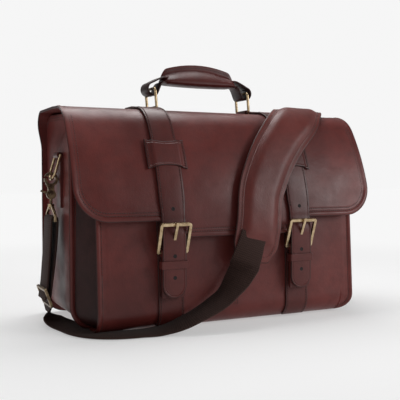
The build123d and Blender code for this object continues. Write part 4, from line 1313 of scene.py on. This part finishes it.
# %% Shoulder pad
pad_line = [
    (18, 78), (20, 99), (26, 130), (32, 165), (43, 188), (62, 216), (88, 243), (116, 265), (134, 276.5),
]
pad_path = [(x, flap_s(z) if z < turn_z else flap_s_high(z)) for x, z in pad_line]
pad_path = [(x, s) if z > 120 else (x, tail_pad) for (x, s), (_, z), tail_pad in
            zip(pad_path, pad_line, [flap_s(115) + (115 - z) for _, z in pad_line])]
pad_path += [(150, -4.0), (164, -26.0), (178, -48.0), (190, -62.0)]


def pad_surface(s, lift):
    """The line over the top, carried straight down below the flap's edge."""
    limit = flap_s(118)
    if s <= limit:
        return over_top(s, lift)
    y, z, ny, nz = over_top(limit, lift)
    return y - 0.3 * ease((s - limit) / 20), z - (s - limit), ny, nz


def pad_half(share):
    foot = ease(share / 0.07)
    head = ease((1 - share) / 0.16)
    return 20.0 + 13.0 * min(foot ** 0.7, head)


pad_mid = smooth_path([Vector((x, s, 0)) for x, s in pad_path], 4.0)
pad_total = [0.0]
for a, b in zip(pad_mid, pad_mid[1:]):
    pad_total.append(pad_total[-1] + (b - a).length)
across_count, pad_flat_foot = 18, 17.0
top_rows, low_rows, border = [], [], []
for i, p in enumerate(pad_mid):
    a, b = pad_mid[max(i - 1, 0)], pad_mid[min(i + 1, len(pad_mid) - 1)]
    d = (b - a).normalized()
    side = Vector((-d.y, d.x, 0))
    share = pad_total[i] / pad_total[-1]
    half = pad_half(share)
    ends = min(pad_total[i], pad_total[-1] - pad_total[i])
    stuffed = min(pad_total[i] - pad_flat_foot, pad_total[-1] - pad_total[i])
    top_row, low_row, edge_row = [], [], []
    for k in range(across_count + 1):
        q = sin(pi / 2 * (2 * k / across_count - 1))
        off = q * half
        edge = min(half - abs(off), ends)
        swell = ease((min(half - abs(off), stuffed) - 6.5) / 9.0)
        flat = p + side * off
        base = 3.4 + 2.2 * ease(p.y / 40)
        up = base + 3.0 + 4.6 * swell
        down = base + 0.4 - 0.2 * swell
        if edge < 0.2:
            up, down = base + 2.4, base + 1.0
        y, z, _, _ = pad_surface(flat.y, up)
        top_row.append((flat.x, y, z))
        y, z, _, _ = pad_surface(flat.y, down)
        low_row.append((flat.x, y, z))
        edge_row.append(edge)
    top_rows.append(top_row)
    low_rows.append(low_row)
    border.append(edge_row)
n = across_count + 1
count = len(top_rows)
verts = [v for row in top_rows for v in row] + [v for row in low_rows for v in row]
edge_values = [max(0.0, e) for row in border for e in row] * 2
base_index = count * n
faces = []
for i in range(count - 1):
    for k in range(across_count):
        a, b, c, d = i * n + k, i * n + k + 1, (i + 1) * n + k + 1, (i + 1) * n + k
        faces.append((a, b, c, d))
        faces.append((base_index + d, base_index + c, base_index + b, base_index + a))
for i in range(count - 1):
    for k in (0, across_count):
        a, d = i * n + k, (i + 1) * n + k
        quad = (a, d, base_index + d, base_index + a)
        faces.append(quad if k == 0 else tuple(reversed(quad)))
for k in range(across_count):
    for i in (0, count - 1):
        a, b = i * n + k, i * n + k + 1
        quad = (b, a, base_index + a, base_index + b)
        faces.append(quad if i == 0 else tuple(reversed(quad)))
pad = new_piece("shoulder_pad_leather", verts, faces, pad_leather, edge_values)
work = bmesh.new()
work.from_mesh(pad.data)
bmesh.ops.recalc_face_normals(work, faces=work.faces)
work.to_mesh(pad.data)
work.free()

held = pad.vertex_groups.new(name="held")
for v in pad.data.vertices:
    e = edge_values[v.index]
    weight = 1.0 if v.index >= base_index else 1.0 - ease((e - 7.0) / 4.0)
    held.add([v.index], weight, "REPLACE")
start = [v.co.copy() for v in pad.data.vertices]
cloth = pad.modifiers.new("stuffing", "CLOTH")
cloth.settings.vertex_group_mass = "held"
cloth.settings.use_pressure = True
cloth.settings.uniform_pressure_force = 3.0
cloth.settings.effector_weights.gravity = 0
cloth.settings.quality = 6
cloth.settings.tension_stiffness = 25
cloth.settings.compression_stiffness = 25
for step in range(1, 13):
    bpy.context.scene.frame_set(step)
settle(pad)
bpy.context.scene.frame_set(1)
cap = 0.0035
for v, first in zip(pad.data.vertices, start):
    move = v.co - first
    if move.length > cap:
        v.co = first + move.normalized() * cap
pad.vertex_groups.clear()
pad_soft = pad.modifiers.new("soft", "SUBSURF")
pad_soft.levels = pad_soft.render_levels = 1
settle(pad)
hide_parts("shoulder_pad", "shoulder_pad_rear")
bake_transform(pad)
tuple(hinge_start)
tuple(hinge_end)

for sign in (-1, 1):
    line = []
    for i, p in enumerate(pad_mid):
        a, b = pad_mid[max(i - 1, 0)], pad_mid[min(i + 1, len(pad_mid) - 1)]
        d = (b - a).normalized()
        side = Vector((-d.y, d.x, 0))
        share = pad_total[i] / pad_total[-1]
        if 0.02 < share < 0.98:
            flat = p + side * sign * (pad_half(share) - 5.4)
            base = 3.4 + 2.2 * ease(p.y / 40)
            y, z, _, _ = pad_surface(flat.y, base + 3.1)
            line.append((flat.x, y, z))
    sew("top", line)
print("pad", len(pad.data.polygons), "faces, strip", round(pad_total[-1]), "mm long")

# %% [markdown]
# Punched holes in the straps are shallow dishes with a rim, coloured near black as painted shade
# for the dark inside of each hole. They repeat, so each is a small ring of faces on the strap's own line.

# %% Punched holes
for side, name in ((-1, "left"), (1, "right")):
    for z, body in ((150.0, "flap"), (92.5, f"tail_{name}"), (66.0, f"tail_{name}")):
        s = flap_s(z) if z > 141.5 else tail_start + (141.5 - z)
        verts, faces = [], []
        rings = ((2.5, 3.02), (2.1, 3.22), (1.6, 3.05), (0.0, 3.03))
        count_around = 16
        for radius, lift in rings[:-1]:
            for k in range(count_around):
                a = 2 * pi * k / count_around
                y, zz, _, _ = strap_line(s + radius * sin(a), lift)
                verts.append((side * strap_x + radius * cos(a), y, zz))
        y, zz, _, _ = strap_line(s, rings[-1][1])
        verts.append((side * strap_x, y, zz))
        for r in range(2):
            for k in range(count_around):
                after = (k + 1) % count_around
                low, high = r * count_around, (r + 1) * count_around
                faces.append((low + k, high + k, high + after, low + after))
        for k in range(count_around):
            faces.append((2 * count_around + k, 3 * count_around, 2 * count_around + (k + 1) % count_around))
        # the dish is near black as painted shade inside the hole
        dish = new_piece(f"punched_hole_{name}_{round(z)}", verts, faces, hole_shade_black)
        if dish.data.polygons[0].normal.y > 0:
            dish.data.flip_normals()
        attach(dish, body)
print("holes done")

# %% [markdown]
# Now the seams that the pieces asked for are sewn, one mesh for each body.

# %% Sew the seams
top_stitches = sewn_mesh("stitches_top", seams["top"])
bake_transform(top_stitches)
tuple(hinge_start)
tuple(hinge_end)
for group in ("root", "flap", "handle"):
    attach(sewn_mesh(f"stitches_{group}", seams[group]), group)
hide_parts("back_panel", "flap_panel")
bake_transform(top_leather)
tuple(hinge_start)
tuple(hinge_end)
print("seam lines", {k: len(v) for k, v in seams.items()})

# %% [markdown]
# A pale sweep of paper behind the bag and large soft lights: one broad light above and behind for
# the sheen on the top, one at the left for the side, and a weak fill from the front.

# %% Stage, light and camera
bpy.ops.mesh.primitive_plane_add(size=12, location=(0, 0, -0.0006))
floor = bpy.context.object
floor.name = "floor"
paper = plain("pale paper", (0.42, 0.42, 0.42), 0.8)
sheet = paper.node_tree
coat = sheet.nodes["Principled BSDF"]
coat.inputs["Specular IOR Level"].default_value = 0.1
coat.inputs["Emission Color"].default_value = (1, 1, 1, 1)
place_on = sheet.nodes.new("ShaderNodeTexCoord")
reach = sheet.nodes.new("ShaderNodeVectorMath")
reach.operation = "LENGTH"
sheet.links.new(place_on.outputs["Object"], reach.inputs[0])
for socket, near, far in (("Emission Strength", 0.38, 0.92), ("Base Color", 0.54, 0.0)):
    fade = sheet.nodes.new("ShaderNodeMapRange")
    fade.interpolation_type = "SMOOTHSTEP"
    for key, value in (("From Min", 0.30), ("From Max", 1.15), ("To Min", near), ("To Max", far)):
        fade.inputs[key].default_value = value
    sheet.links.new(reach.outputs["Value"], fade.inputs["Value"])
    sheet.links.new(fade.outputs["Result"], coat.inputs[socket])
floor.data.materials.append(paper)


def soft_light(name, place, aim, size, power):
    lamp = bpy.data.lights.new(name, "AREA")
    lamp.size = size
    lamp.energy = power
    holder = bpy.data.objects.new(name, lamp)
    bpy.context.scene.collection.objects.link(holder)
    holder.location = place
    holder.rotation_euler = (Vector(aim) - Vector(place)).to_track_quat("-Z", "Y").to_euler()


soft_light("above", (0.05, 0.34, 1.15), (0, 0, 0.2), 0.8, 11)
soft_light("left", (-1.5, -0.10, 0.70), (0, 0, 0.15), 0.6, 2.8)
soft_light("front", (1.35, -1.25, 0.75), (0.05, 0, 0.12), 0.8, 17)
bpy.context.scene.view_settings.view_transform = "Standard"
world = bpy.data.worlds.new("studio")
world.use_nodes = True
air = world.node_tree
shade = air.nodes["Background"]
shade.inputs["Color"].default_value = (1, 1, 1, 1)
shade.inputs["Strength"].default_value = 0.22
backdrop = air.nodes.new("ShaderNodeBackground")
backdrop.inputs["Color"].default_value = (1, 1, 1, 1)
backdrop.inputs["Strength"].default_value = 0.92
seen = air.nodes.new("ShaderNodeLightPath")
choose = air.nodes.new("ShaderNodeMixShader")
air.links.new(seen.outputs["Is Camera Ray"], choose.inputs["Fac"])
air.links.new(shade.outputs["Background"], choose.inputs[1])
air.links.new(backdrop.outputs["Background"], choose.inputs[2])
air.links.new(choose.outputs["Shader"], air.nodes["World Output"].inputs["Surface"])
bpy.context.scene.world = world

lens = bpy.data.cameras.new("camera")
lens.lens = 61.6
lens.sensor_width = 36
camera = bpy.data.objects.new("camera", lens)
bpy.context.scene.collection.objects.link(camera)
camera.location = (-0.4285, -0.8622, 0.1929)
camera.rotation_euler = (radians(90 - 2.16), 0, radians(-25.94))
bpy.context.scene.camera = camera

# %% [markdown]
# Last, the view layer is updated.

# %% Finish
bpy.context.view_layer.update()
